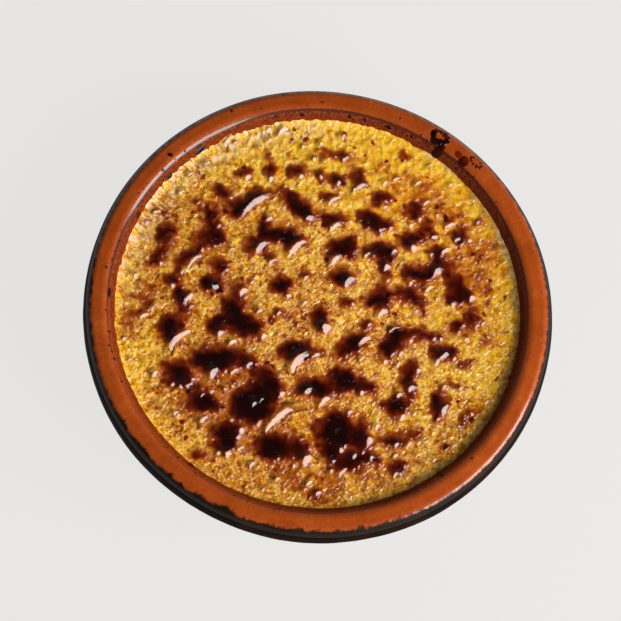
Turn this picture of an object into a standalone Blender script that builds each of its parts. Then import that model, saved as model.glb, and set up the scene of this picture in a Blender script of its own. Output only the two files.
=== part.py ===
"""Creme brulee in its shallow terracotta dish.

Two solids make the object: the thrown earthenware dish, and the set custard that fills it, whose top
is an uneven sheet of burnt sugar with raised blisters. Units are metres, +Z is up, the dish stands on
z = 0 and its axis is the Z axis.
"""

import math

import bmesh
import bpy

MM = 0.001

# ---------------------------------------------------------------------------
# Driving dimensions
# ---------------------------------------------------------------------------

# The dish, a shallow bowl with a fat lip that is level on top and full at its side.
DISH_RADIUS = 65.0 * MM         # widest point, on the outside of the lip
DISH_HEIGHT = 30.0 * MM         # from the table to the level top of the lip
LIP_TOP_INNER = 59.7 * MM       # the level top runs from this radius
LIP_TOP_OUTER = 61.8 * MM       # to this one
LIP_SHOULDER_ROUND = 2.2 * MM   # tight round at the top's outer edge
LIP_SHOULDER_END = math.radians(35.0)   # the shoulder's slope, from upright, where the fuller side begins
LIP_UNDER_ROUND = 4.5 * MM      # round below the widest point
LIP_UNDERCUT = math.radians(45.0)       # how far that round turns in
LIP_INNER_ROUND = 2.2 * MM      # round at the top's inner edge
LIP_INNER_TURN = math.radians(50.0)     # how far the inner round turns before the wall runs on straight
BEVEL_LENGTH = 2.8 * MM         # straight slope below the inner round, where the crust's edge lies
BASE_RADIUS = 48.5 * MM         # flat foot
BASE_CHAMFER_REACH = 2.5 * MM   # how far the foot's edge stands out before the wall rises
BASE_CHAMFER_RISE = 1.5 * MM
FLOOR_THICKNESS = 5.0 * MM
FLOOR_RADIUS = 45.0 * MM        # flat part of the inside

# How far the walls' curves are pulled along the directions in which they start and end.
BELLY_SLOPE = math.radians(32.0)      # the outer wall leaves the foot at this slope
BELLY_PULL = 8.5 * MM
NECK_PULL = 4.5 * MM
SHOULDER_PULL = 3.5 * MM
FLOOR_PULL_OUT = 9.5 * MM
FLOOR_PULL_UP = 0.2 * MM

# The custard and its burnt crust.
CRUST_DROP = 3.7 * MM           # general level of the crust below the top of the lip
MENISCUS_RISE = 0.7 * MM        # the custard climbs this far where it clings to the wall
MENISCUS_REACH = 1.4 * MM
FIT_GAP = 0.35 * MM             # clearance between the custard and the dish

# How finely the solids are divided.
DISH_SEGMENTS = 72
MERGE_DISTANCE = 0.001 * MM     # joins the points that fall together on the axis
SHARP_ANGLE = math.radians(40.0)
LIP_SHOULDER_STEPS = 4
LIP_SIDE_STEPS = 2
LIP_UNDER_STEPS = 3
LIP_INNER_STEPS = 3
WALL_STEPS = 6
CRUST_RINGS = 25                # ring k of the crust has 6 k points, so the mesh is even all over

# Derived sizes.
SHOULDER_RADIUS = LIP_TOP_OUTER + LIP_SHOULDER_ROUND * math.cos(LIP_SHOULDER_END)
LIP_SIDE_ROUND = (DISH_RADIUS - SHOULDER_RADIUS) / (1.0 - math.cos(LIP_SHOULDER_END))
CRUST_LEVEL = DISH_HEIGHT - CRUST_DROP
CONTACT_LEVEL = CRUST_LEVEL + MENISCUS_RISE

# Blisters where the sugar rose and burnt, in millimetres from the dish's centre and degrees:
# x, y, length, width, turn of the long side from +X, height.
BLISTERS = [
    (-20, 31, 11, 4.2, 35, 0.8), (-26, 34, 5, 3.4, -40, 0.6), (-6, 31, 11, 4.4, -47, 0.7),
    (-10, 21, 12, 5.0, -5, 0.9), (-29, 21, 6, 5.0, -50, 0.7), (-30, 27, 5, 3.6, 110, 0.6),
    (-35, 16, 10, 3.2, 34, 0.6), (-42, 22, 6, 3.6, 38, 0.5), (-44, 15, 5, 3.0, 55, 0.5),
    (-10, 7, 5.4, 5.0, 0, 0.7), (-29, 7, 6, 3.8, -10, 0.7), (-38, 3, 6.5, 3.8, 105, 0.7),
    (-5, 41, 4.6, 3.6, 30, 0.6), (12, 39, 5, 3.6, 100, 0.6), (18, 32, 4.4, 3.6, 25, 0.6),
    (16, 26, 9, 5.0, -28, 0.8), (28, 29, 5, 4.2, 60, 0.5), (26, 21, 5.6, 4.0, 10, 0.6),
    (6, 18, 7, 5.6, 15, 0.8), (18, 17, 7.5, 4.2, -8, 0.7), (7, 9, 5.4, 4.8, -15, 0.7),
    (29, 10, 8.5, 4.6, 2, 0.8), (35, 13, 8, 4.2, -65, 0.7), (40, 6, 7, 5.0, 110, 0.7),
    (17, 3, 6.6, 4.6, 10, 0.7), (24, 4, 9, 3.2, -18, 0.6), (43, -2, 4.6, 3.4, 95, 0.5),
    (-24, -3, 11, 8.0, -60, 1.0), (-19, -5, 9, 5.0, -15, 0.8), (-41, -6, 8, 5.2, 100, 0.8),
    (-29, -15, 12, 6.4, -5, 0.9), (-38, -19, 8, 4.6, -30, 0.7), (-31, -27, 7, 4.6, -15, 0.6),
    (-18, -26, 14, 11.0, 30, 1.1), (-25, -36, 7, 5.6, -60, 0.8), (-11, -39, 12, 7.4, -5, 0.9),
    (-5, -11, 7.5, 5.4, -15, 0.8), (1, -22, 12, 6.0, 0, 0.9), (9, -21, 9, 6.0, -20, 0.8),
    (1, -3, 6.6, 4.2, 100, 0.6), (9, -10, 9.5, 4.4, 38, 0.7), (21, -9, 10, 5.6, 55, 0.9),
    (34, -12, 6.5, 3.6, 10, 0.6), (25, -18, 7, 3.4, 75, 0.6), (22, -27, 8, 5.4, 40, 0.8),
    (32, -27, 7.5, 4.4, 92, 0.7), (5, -36, 13, 10.0, 80, 1.1), (11, -41, 11, 6.0, -10, 0.8),
    (20, -37, 7, 3.8, 5, 0.6),
]
FLANK = 0.45                    # share of a blister's half width over which its side falls away

# Slow swells of the crust: height in millimetres, then waves per metre along x and y, and phase.
SWELLS = [
    (0.16, 9.0, 4.0, 0.4), (0.13, -6.0, 11.0, 1.9), (0.10, 17.0, -13.0, 4.1), (0.08, 23.0, 19.0, 2.6),
]


# ---------------------------------------------------------------------------
# Profiles: lists of (radius, height)
# ---------------------------------------------------------------------------

def arc(centre, radius, start, end, steps):
    """Points on an arc, from one angle to another, both ends included."""
    points = []
    for i in range(steps + 1):
        angle = start + (end - start) * i / steps
        points.append((centre[0] + radius * math.cos(angle), centre[1] + radius * math.sin(angle)))
    return points


def curve(start, start_pull, end_pull, end, steps):
    """Points on a cubic curve that two pulls bend, without its first point."""
    points = []
    for i in range(1, steps + 1):
        t = i / steps
        s = 1.0 - t
        weights = (s ** 3, 3 * s * s * t, 3 * s * t * t, t ** 3)
        corners = (start, start_pull, end_pull, end)
        points.append(tuple(sum(w * p[k] for w, p in zip(weights, corners)) for k in (0, 1)))
    return points


def moved(point, angle, distance):
    """The point at a distance from another, in the direction of an angle."""
    return (point[0] + distance * math.cos(angle), point[1] + distance * math.sin(angle))


def lip_outside():
    """From below the lip's widest point round its side and shoulder to its level top."""
    shoulder_centre = (LIP_TOP_OUTER, DISH_HEIGHT - LIP_SHOULDER_ROUND)
    shoulder = arc(shoulder_centre, LIP_SHOULDER_ROUND, LIP_SHOULDER_END, math.pi / 2, LIP_SHOULDER_STEPS)
    side_centre = moved(shoulder[0], LIP_SHOULDER_END, -LIP_SIDE_ROUND)
    side = arc(side_centre, LIP_SIDE_ROUND, 0.0, LIP_SHOULDER_END, LIP_SIDE_STEPS)
    under_centre = (DISH_RADIUS - LIP_UNDER_ROUND, side_centre[1])
    under = arc(under_centre, LIP_UNDER_ROUND, -LIP_UNDERCUT, 0.0, LIP_UNDER_STEPS)
    return under + side[1:] + shoulder[1:]


def outer_profile():
    """From the foot's edge up the outside of the wall and round the lip to its top."""
    lip = lip_outside()
    foot = (BASE_RADIUS, 0.0)
    wall_foot = (BASE_RADIUS + BASE_CHAMFER_REACH, BASE_CHAMFER_RISE)
    belly = moved(wall_foot, BELLY_SLOPE, BELLY_PULL)
    neck = moved(lip[0], -LIP_UNDERCUT - math.pi / 2, NECK_PULL)
    wall = curve(wall_foot, belly, neck, lip[0], WALL_STEPS)
    return [foot, wall_foot] + wall + lip[1:]


def lip_inside():
    """From the inner edge of the lip's top to where its round has turned down."""
    centre = (LIP_TOP_INNER, DISH_HEIGHT - LIP_INNER_ROUND)
    return arc(centre, LIP_INNER_ROUND, math.pi / 2, math.pi / 2 + LIP_INNER_TURN, LIP_INNER_STEPS)


def inner_wall():
    """The wall's inside, from the end of the lip's round down to the flat floor."""
    round_end = lip_inside()[-1]
    down_slope = math.pi + LIP_INNER_TURN
    bevel_end = moved(round_end, down_slope, BEVEL_LENGTH)
    shoulder = moved(bevel_end, down_slope, SHOULDER_PULL)
    floor_bend = (FLOOR_RADIUS + FLOOR_PULL_OUT, FLOOR_THICKNESS + FLOOR_PULL_UP)
    floor_edge = (FLOOR_RADIUS, FLOOR_THICKNESS)
    return [round_end, bevel_end] + curve(bevel_end, shoulder, floor_bend, floor_edge, WALL_STEPS)


def inset(profile, distance):
    """A profile that runs down and inwards, moved off the wall towards the axis and upwards."""
    shifted = []
    for i, point in enumerate(profile):
        before = profile[max(i - 1, 0)]
        after = profile[min(i + 1, len(profile) - 1)]
        run, rise = after[0] - before[0], after[1] - before[1]
        length = math.hypot(run, rise)
        shifted.append((point[0] + distance * rise / length, point[1] - distance * run / length))
    return shifted


def custard_side():
    """The custard's side, from the level where it meets the wall down to the dish's floor."""
    line = inset(inner_wall(), FIT_GAP)
    bevel_start, bevel_end = line[0], line[1]
    share = (bevel_start[1] - CONTACT_LEVEL) / (bevel_start[1] - bevel_end[1])
    contact = (bevel_start[0] + share * (bevel_end[0] - bevel_start[0]), CONTACT_LEVEL)
    return [contact] + line[2:]


# ---------------------------------------------------------------------------
# The crust's surface
# ---------------------------------------------------------------------------

def smooth(low, high, value):
    """0 below low, 1 above high, and a soft step between."""
    t = min(max((value - low) / (high - low), 0.0), 1.0)
    return t * t * (3.0 - 2.0 * t)


def blister_height(x, y):
    """Height of the tallest blister over a point, in metres."""
    tallest = 0.0
    for cx, cy, length, width, turn, height in BLISTERS:
        dx, dy = x / MM - cx, y / MM - cy
        c, s = math.cos(math.radians(turn)), math.sin(math.radians(turn))
        along, across = (dx * c + dy * s) / (length / 2), (dy * c - dx * s) / (width / 2)
        reach = math.hypot(along, across)
        dome = 1.0 - smooth(1.0 - FLANK, 1.0 + FLANK, reach)
        tallest = max(tallest, height * MM * dome)
    return tallest


def crust_height(x, y, edge_radius):
    """Height of the crust: its level, slow swells, blisters, and the rise along the wall."""
    to_wall = edge_radius - math.hypot(x, y)
    climb = math.exp(-to_wall / MENISCUS_REACH)
    swell = 0.0
    for height, along_x, along_y, phase in SWELLS:
        swell += height * MM * math.sin(2 * math.pi * (along_x * x + along_y * y) + phase)
    return CRUST_LEVEL + MENISCUS_RISE * climb + (1.0 - climb) * (swell + blister_height(x, y))


# ---------------------------------------------------------------------------
# Meshes
# ---------------------------------------------------------------------------

def ring(bm, radius, height, count):
    """A level ring of vertices."""
    verts = []
    for i in range(count):
        angle = 2 * math.pi * i / count
        verts.append(bm.verts.new((radius * math.cos(angle), radius * math.sin(angle), height)))
    return verts


def join_rings(bm, first, second):
    """A band of triangles between two rings with the same number of vertices."""
    count = len(first)
    for i in range(count):
        j = (i + 1) % count
        bm.faces.new((first[i], first[j], second[j]))
        bm.faces.new((first[i], second[j], second[i]))


def close_ring(bm, verts, height):
    """A fan of triangles from a ring to a point on the axis."""
    centre = bm.verts.new((0.0, 0.0, height))
    for i in range(len(verts)):
        bm.faces.new((verts[i], verts[(i + 1) % len(verts)], centre))


def crust_disc(bm, edge_radius):
    """The crust as concentric rings whose point count grows with the radius. Returns its rim."""
    rings = [[bm.verts.new((0.0, 0.0, crust_height(0.0, 0.0, edge_radius)))]]
    for k in range(1, CRUST_RINGS + 1):
        radius = edge_radius * k / CRUST_RINGS
        verts = ring(bm, radius, 0.0, 6 * k)
        for v in verts:
            v.co.z = crust_height(v.co.x, v.co.y, edge_radius)
        rings.append(verts)
    for k in range(1, CRUST_RINGS + 1):
        inner, outer = rings[k - 1], rings[k]
        for sector in range(6):
            for i in range(k):
                a = outer[sector * k + i]
                b = outer[(sector * k + i + 1) % (6 * k)]
                c = inner[(sector * (k - 1) + i) % len(inner)]
                bm.faces.new((a, b, c))
                if i < k - 1:
                    d = inner[(sector * (k - 1) + i + 1) % len(inner)]
                    bm.faces.new((c, b, d))
    return rings[-1]


def finish(bm, name, material):
    """Turns the faces out and makes the named object, shaded smooth but for sharp edges."""
    bmesh.ops.recalc_face_normals(bm, faces=bm.faces)
    mesh = bpy.data.meshes.new(name)
    bm.to_mesh(mesh)
    bm.free()
    mesh.materials.append(material)
    mesh.shade_smooth()
    mesh.set_sharp_from_angle(angle=SHARP_ANGLE)
    piece = bpy.data.objects.new(name, mesh)
    bpy.context.scene.collection.objects.link(piece)
    return piece


def simple_material(name, colour, roughness):
    material = bpy.data.materials.new(name)
    material.use_nodes = True
    shader = material.node_tree.nodes["Principled BSDF"]
    shader.inputs["Base Color"].default_value = (*colour, 1.0)
    shader.inputs["Roughness"].default_value = roughness
    shader.inputs["Metallic"].default_value = 0.0
    return material


def make_dish():
    """The dish: its outline from the middle of the foot to the middle of the floor, spun round Z."""
    bm = bmesh.new()
    walls = outer_profile() + lip_inside() + inner_wall()[1:]
    outline = [(0.0, 0.0)] + walls + [(0.0, FLOOR_THICKNESS)]
    verts = [bm.verts.new((radius, 0.0, height)) for radius, height in outline]
    edges = [bm.edges.new(pair) for pair in zip(verts, verts[1:])]
    bmesh.ops.spin(bm, geom=verts + edges, cent=(0, 0, 0), axis=(0, 0, 1), angle=2 * math.pi,
                   steps=DISH_SEGMENTS, use_merge=True)
    bmesh.ops.remove_doubles(bm, verts=bm.verts, dist=MERGE_DISTANCE)
    return finish(bm, "dish", simple_material("terracotta", (0.36, 0.09, 0.02), 0.35))


def make_custard():
    """The custard, filling the dish from its floor up to the uneven burnt crust."""
    bm = bmesh.new()
    side = custard_side()
    rim = crust_disc(bm, side[0][0])
    for radius, height in side[1:]:
        lower = ring(bm, radius, height, len(rim))
        join_rings(bm, rim, lower)
        rim = lower
    close_ring(bm, rim, side[-1][1])
    return finish(bm, "custard", simple_material("burnt_sugar", (0.55, 0.27, 0.05), 0.25))


# ---------------------------------------------------------------------------
# Build
# ---------------------------------------------------------------------------

for leftover in list(bpy.data.objects):
    bpy.data.objects.remove(leftover, do_unlink=True)

make_dish()
make_custard()
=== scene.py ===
# %% [markdown]
# # Creme brulee in a terracotta dish
#
# A shallow earthenware dish holds a baked custard under a sheet of burnt sugar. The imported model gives
# two plain solids, the dish and the custard, at their real size. This lesson dresses them: it turns a
# finer dish with glaze and kiln marks, and raises the crust with its burnt blisters and popped bubbles.
# All the work is in metres, but sizes are written in millimetres and multiplied by MM where used.

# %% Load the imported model
import math
from functools import partial

import bpy
import numpy as np
from mathutils import Matrix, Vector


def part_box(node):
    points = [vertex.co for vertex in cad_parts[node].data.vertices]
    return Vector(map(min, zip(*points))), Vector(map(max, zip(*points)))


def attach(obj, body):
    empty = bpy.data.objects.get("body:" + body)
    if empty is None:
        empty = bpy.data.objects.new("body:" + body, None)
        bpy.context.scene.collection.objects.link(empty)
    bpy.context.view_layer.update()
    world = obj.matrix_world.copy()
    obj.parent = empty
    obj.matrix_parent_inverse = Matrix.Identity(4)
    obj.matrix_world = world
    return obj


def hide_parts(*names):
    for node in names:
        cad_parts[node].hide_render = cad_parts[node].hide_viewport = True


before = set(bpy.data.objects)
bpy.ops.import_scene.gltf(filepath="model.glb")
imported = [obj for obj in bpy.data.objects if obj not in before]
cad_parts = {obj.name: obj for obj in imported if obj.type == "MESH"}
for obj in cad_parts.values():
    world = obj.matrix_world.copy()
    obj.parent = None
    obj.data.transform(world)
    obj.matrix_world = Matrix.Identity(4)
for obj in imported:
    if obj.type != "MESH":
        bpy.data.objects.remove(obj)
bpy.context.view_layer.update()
MM = 0.001

# %% [markdown]
# ## Sizes that the pieces share
#
# The dish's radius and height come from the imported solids, so the looks can't drift from them. The lip
# is level on top. A tight round forms its shoulder, a fuller one its side and another its underside.

# %% Driving sizes
dish_low, dish_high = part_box("dish")
custard_low, custard_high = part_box("custard")
DISH_RADIUS = (dish_high.x - dish_low.x) / 2 / MM
DISH_HEIGHT = (dish_high.z - dish_low.z) / MM
LIP_TOP_INNER = 60.0
LIP_TOP_OUTER = 61.8
SHOULDER_ROUND = 2.2
SHOULDER_END = math.radians(35.0)
UNDER_ROUND = 4.5
UNDERCUT = math.radians(45.0)
INNER_ROUND = 3.2
INNER_TURN = math.radians(50.0)
CRUST_DEPTH = 3.7
CRUST_LEVEL = DISH_HEIGHT - CRUST_DEPTH
print("dish radius", round(DISH_RADIUS, 2), "height", round(DISH_HEIGHT, 2))
print("custard solid from", round(custard_low.z / MM, 2), "to", round(custard_high.z / MM, 2))

# %% [markdown]
# ## Random fields
#
# Food and clay are uneven, but the result has to be the same on every run. So each field of noise is
# made from a table of random numbers with its own seed. Gradient noise gives soft swells. Scattered
# round dents, some large and some small, are what a sheet of burst sugar bubbles looks like.

# %% Noise helpers
NOISE_CELLS = 256


def in_cells(x, y, cell):
    """Places counted in cells, and the whole cell that each falls in."""
    u, v = np.asarray(x) / cell, np.asarray(y) / cell
    return u, v, np.floor(u).astype(int), np.floor(v).astype(int)


def soft_noise(x, y, cell, seed):
    """Gradient noise of about -1 to 1 that changes over one cell."""
    angle = np.random.default_rng(seed).uniform(0, 2 * np.pi, (NOISE_CELLS, NOISE_CELLS))
    u, v, i, j = in_cells(x, y, cell)
    fu, fv = u - i, v - j
    su, sv = (f * f * f * (f * (f * 6 - 15) + 10) for f in (fu, fv))

    def corner(a, b):
        turn = angle[(i + a) % NOISE_CELLS, (j + b) % NOISE_CELLS]
        return np.cos(turn) * (fu - a) + np.sin(turn) * (fv - b)

    low = corner(0, 0) * (1 - su) + corner(1, 0) * su
    high = corner(0, 1) * (1 - su) + corner(1, 1) * su
    return 1.5 * (low * (1 - sv) + high * sv)


def rough_noise(x, y, cell, seed):
    """Soft noise with two finer and fainter layers on top."""
    return sum(soft_noise(x, y, cell / 2 ** k, seed + k) / 2 ** k for k in range(3)) / 1.5


def bubbles(x, y, cell, seed):
    """Round dents of mixed size on random points: 1 in the middle of a dent, 0 outside."""
    rng = np.random.default_rng(seed)
    place = rng.uniform(0.10, 0.90, (2, NOISE_CELLS, NOISE_CELLS))
    size = rng.uniform(0.30, 0.72, (NOISE_CELLS, NOISE_CELLS))
    u, v, i, j = in_cells(x, y, cell)
    depth = np.zeros(np.shape(u))
    for a in (-1, 0, 1):
        for b in (-1, 0, 1):
            row, column = (i + a) % NOISE_CELLS, (j + b) % NOISE_CELLS
            du, dv = u - (i + a + place[0][row, column]), v - (j + b + place[1][row, column])
            reach = size[row, column]
            dent = 1.4 * reach * (1.0 - (du * du + dv * dv) / reach ** 2)
            depth = np.maximum(depth, dent)
    return depth


def ease(low, high, value):
    """0 below low, 1 above high and a smooth step between. It also runs down when low is above high."""
    t = np.clip((value - low) / (high - low), 0.0, 1.0)
    return t * t * (3.0 - 2.0 * t)


print("noise helpers ready")

# %% [markdown]
# ## Camera
#
# The picture looks down on the dish from about 73 degrees above the table, a little rolled, so that the
# dish's far side leans to the upper right. A long lens at arm's length keeps the circle nearly true.

# %% Place the camera
CAMERA_ELEVATION = math.radians(72.9)
CAMERA_SIDE = math.radians(12.8)
CAMERA_DISTANCE = 650.0
FRAME_WIDTH = 170.6
AIM_LEFT, AIM_DOWN = 2.31, 1.29
SENSOR = 36.0


def placement(right, up, back, place):
    """The matrix that turns an object to three directions, at a place in millimetres."""
    rows = np.stack([right, up, back], 1)
    return Matrix([[*row, p * MM] for row, p in zip(rows, place)] + [[0, 0, 0, 1]])


back = np.array([-math.sin(CAMERA_SIDE) * math.cos(CAMERA_ELEVATION),
                 -math.cos(CAMERA_SIDE) * math.cos(CAMERA_ELEVATION), math.sin(CAMERA_ELEVATION)])
level_right = np.array([math.cos(CAMERA_SIDE), -math.sin(CAMERA_SIDE), 0.0])
level_up = np.cross(back, level_right)
right = level_right * math.cos(CAMERA_SIDE) + level_up * math.sin(CAMERA_SIDE)
up = level_up * math.cos(CAMERA_SIDE) - level_right * math.sin(CAMERA_SIDE)
aim = np.array([0.0, 0.0, DISH_HEIGHT]) - right * AIM_LEFT - up * AIM_DOWN

camera_data = bpy.data.cameras.new("camera")
camera_data.sensor_width = SENSOR
camera_data.lens = SENSOR * CAMERA_DISTANCE / FRAME_WIDTH
camera = bpy.data.objects.new("camera", camera_data)
bpy.context.scene.collection.objects.link(camera)
camera.matrix_world = placement(right, up, back, aim + back * CAMERA_DISTANCE)
bpy.context.scene.camera = camera
print("camera lens, mm:", round(camera_data.lens, 1))

# %% [markdown]
# ## Node helpers
#
# Materials are node trees. A cell that makes a material opens its tree under the name tree, and these
# short helpers add to the tree that is open: plain sums, noise, colour ramps and mixes. Colours are
# written as display values and turned into the linear light that the renderer works in.

# %% Node helpers
def linear(red, green, blue):
    """A colour given as 0 to 255 display values, as linear light."""
    return tuple(((c / 255 + 0.055) / 1.055) ** 2.4 if c > 10 else c / 255 / 12.92
                 for c in (red, green, blue)) + (1.0,)


def new_material(name):
    """A new material, its node tree and its shader."""
    material = bpy.data.materials.new(name)
    material.use_nodes = True
    return material, material.node_tree, material.node_tree.nodes["Principled BSDF"]


def set_inputs(shader, **values):
    """Sets plain values on a shader. Each name is the input's own, with _ for a space."""
    for name, value in values.items():
        shader.inputs[name.replace("_", " ")].default_value = value


def node(kind, settings=None, **inputs):
    """Adds a node. An input is a plain value or another node's output. _0 to _9 are inputs by number."""
    made = tree.nodes.new(kind)
    for key, value in (settings or {}).items():
        setattr(made, key, value)
    for key, value in inputs.items():
        socket = made.inputs[int(key[1:])] if key[1:].isdigit() else made.inputs[key.replace("_", " ")]
        if isinstance(value, bpy.types.NodeSocket):
            tree.links.new(value, socket)
        else:
            socket.default_value = value
    return made


def attribute(name):
    """The number that each point keeps under a name."""
    return node("ShaderNodeAttribute", {"attribute_name": name}).outputs["Fac"]


def noise_node(where, scale, detail, roughness):
    """Noise of about 0.3 to 0.7. The scale counts its features in a metre."""
    return node("ShaderNodeTexNoise", Vector=where, Scale=scale, Detail=detail,
                Roughness=roughness).outputs["Fac"]


def ramp(factor, *stops, smooth=True):
    """A colour ramp. Each stop is a place from 0 to 1 and its red, green and blue."""
    made = node("ShaderNodeValToRGB", Fac=factor)
    elements = made.color_ramp.elements
    made.color_ramp.interpolation = "EASE" if smooth else "LINEAR"
    while len(elements) < len(stops):
        elements.new(0.5)
    for element, (place, *colour) in zip(elements, stops):
        element.position = place
        element.color = linear(*colour)
    return made.outputs["Color"]


def math_node(operation, a, b=0.0):
    return node("ShaderNodeMath", {"operation": operation}, _0=a, _1=b).outputs[0]


times, plus, minus, larger, smaller = (
    partial(math_node, operation) for operation in ("MULTIPLY", "ADD", "SUBTRACT", "MAXIMUM", "MINIMUM"))


def weighed(value, weight, shift=0.0):
    """The value times a weight, plus a shift."""
    return node("ShaderNodeMath", {"operation": "MULTIPLY_ADD"}, _0=value, _1=weight, _2=shift).outputs[0]


def reach_along(place, way):
    """How far a place lies along a direction."""
    return node("ShaderNodeVectorMath", {"operation": "DOT_PRODUCT"}, _0=place, _1=way).outputs["Value"]


def mix_colour(factor, a, b, blend="MIX"):
    return node("ShaderNodeMix", {"data_type": "RGBA", "blend_type": blend}, _0=factor, _6=a, _7=b).outputs[2]


def mix_number(factor, a, b):
    return node("ShaderNodeMix", {"data_type": "FLOAT"}, _0=factor, _2=a, _3=b).outputs[0]


def remap(value, low, high, to_low=0.0, to_high=1.0, smooth=True):
    """Brings low to to_low and high to to_high, and stays at those beyond them."""
    kind = "SMOOTHSTEP" if smooth else "LINEAR"
    return node("ShaderNodeMapRange", {"interpolation_type": kind, "clamp": True},
                _0=value, _1=low, _2=high, _3=to_low, _4=to_high).outputs[0]


print("node helpers ready")

# %% [markdown]
# ## Light and floor
#
# One large soft box stands low at the right front, so every raised blister gets a white stroke on that
# side. The surround is pale near the table and dark overhead: it fills the shadows inside the dish, but
# black sugar doesn't mirror it. The floor is a light table, which keeps the shadow round the dish faint.

# %% Soft box
KEY_AZIMUTH = -31.1
KEY_ELEVATION = 31.3
KEY_DISTANCE = 620.0
KEY_WIDTH, KEY_HEIGHT = 490.0, 340.0
KEY_POWER = 6.9

a, e = math.radians(KEY_AZIMUTH), math.radians(KEY_ELEVATION)
to_light = np.array([math.cos(a) * math.cos(e), math.sin(a) * math.cos(e), math.sin(e)])
light_side = np.array([-math.sin(a), math.cos(a), 0.0])
key_data = bpy.data.lights.new("key_light", "AREA")
key_data.shape = "RECTANGLE"
key_data.size, key_data.size_y = KEY_WIDTH * MM, KEY_HEIGHT * MM
key_data.energy = KEY_POWER
key_data.color = (1.0, 0.955, 0.93)
key = bpy.data.objects.new("key_light", key_data)
key.matrix_world = placement(light_side, np.cross(to_light, light_side), to_light,
                             to_light * KEY_DISTANCE + np.array([0, 0, DISH_HEIGHT]))
bpy.context.scene.collection.objects.link(key)
print("key light from azimuth", KEY_AZIMUTH, "elevation", KEY_ELEVATION)

# %% Surround and floor
SURROUND_AT_TABLE, SURROUND_OVERHEAD = 0.24, 0.03
FLOOR_HALF = 3.0

world = bpy.data.worlds.new("surround")
bpy.context.scene.world = world
world.use_nodes = True
tree = world.node_tree
surround = tree.nodes["Background"]
surround.inputs["Color"].default_value = (1.0, 0.92, 0.87, 1.0)
upward = node("ShaderNodeSeparateXYZ", _0=node("ShaderNodeTexCoord").outputs["Generated"]).outputs["Z"]
tree.links.new(remap(upward, 0.0, 1.0, SURROUND_AT_TABLE, SURROUND_OVERHEAD, smooth=False),
               surround.inputs["Strength"])

floor_material, tree, shader = new_material("pale_table")
set_inputs(shader, Base_Color=(0.05, 0.05, 0.05, 1.0), Roughness=0.9, Specular_IOR_Level=0.0,
           Emission_Color=(1.0, 0.99, 0.97, 1.0), Emission_Strength=0.765)
floor_mesh = bpy.data.meshes.new("floor")
floor_mesh.from_pydata([(side * FLOOR_HALF, end * FLOOR_HALF, 0)
                        for side, end in ((-1, -1), (1, -1), (1, 1), (-1, 1))], [], [(0, 1, 2, 3)])
floor_mesh.materials.append(floor_material)
floor = bpy.data.objects.new("floor", floor_mesh)
bpy.context.scene.collection.objects.link(floor)

bpy.context.scene.view_settings.view_transform = "Standard"
print("surround from", SURROUND_AT_TABLE, "at the table to", SURROUND_OVERHEAD, "overhead")

# %% [markdown]
# ## The dish's outline
#
# The real dish is thrown on a wheel, so its shape is one outline turned round the axis. The outline is
# built from arcs for the lip and two smooth curves for the walls. Each point keeps its distance along
# the clay from the inner edge of the lip's top: outwards counts up, inwards counts down. The glaze uses
# it later.

# %% Outline of the dish
FOOT_RADIUS = 48.5
WALL_FOOT = (51.0, 1.5)
FLOOR_EDGE = (45.0, 5.0)


def arc(centre, radius, start, end, steps):
    """Points of a circle's arc, start and end included."""
    turn = np.linspace(start, end, steps + 1)
    return np.stack([centre[0] + radius * np.cos(turn), centre[1] + radius * np.sin(turn)], 1)


def curve(start, start_pull, end_pull, end, steps):
    """Points of a smooth curve bent by two pulls, without its start."""
    t = np.linspace(0, 1, steps + 1)[1:, None]
    corners = [np.array(p, float) for p in (start, start_pull, end_pull, end)]
    s = 1 - t
    return corners[0] * s ** 3 + corners[1] * 3 * s * s * t + corners[2] * 3 * s * t * t + corners[3] * t ** 3


def moved(point, angle, distance):
    """A point moved by a distance in a direction."""
    return (point[0] + distance * math.cos(angle), point[1] + distance * math.sin(angle))


def outside_line():
    """From the inner edge of the lip's top round its outer side and down to the middle of the foot."""
    top = np.stack([np.linspace(LIP_TOP_INNER, LIP_TOP_OUTER, 8)[:-1], np.full(7, DISH_HEIGHT)], 1)
    shoulder_centre = (LIP_TOP_OUTER, DISH_HEIGHT - SHOULDER_ROUND)
    shoulder = arc(shoulder_centre, SHOULDER_ROUND, math.pi / 2, SHOULDER_END, 12)
    side_round = (DISH_RADIUS - shoulder[-1][0]) / (1 - math.cos(SHOULDER_END))
    side_centre = moved(shoulder[-1], SHOULDER_END, -side_round)
    side = arc(side_centre, side_round, SHOULDER_END, 0.0, 12)
    under = arc((DISH_RADIUS - UNDER_ROUND, side_centre[1]), UNDER_ROUND, 0.0, -UNDERCUT, 10)
    lip = np.concatenate([top, shoulder, side[1:], under[1:]])
    neck = moved(lip[-1], -UNDERCUT - math.pi / 2, 4.5)
    belly = moved(WALL_FOOT, math.radians(32.0), 8.5)
    wall = curve(lip[-1], neck, belly, WALL_FOOT, 48)
    foot_bend = curve(WALL_FOOT, (49.9, 0.7), (49.3, 0.0), (FOOT_RADIUS, 0.0), 6)
    foot = np.stack([np.linspace(FOOT_RADIUS, 0.0, 22)[1:], np.zeros(21)], 1)
    return np.concatenate([lip, wall, foot_bend, foot])


FLOOR_STEPS = 4


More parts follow.
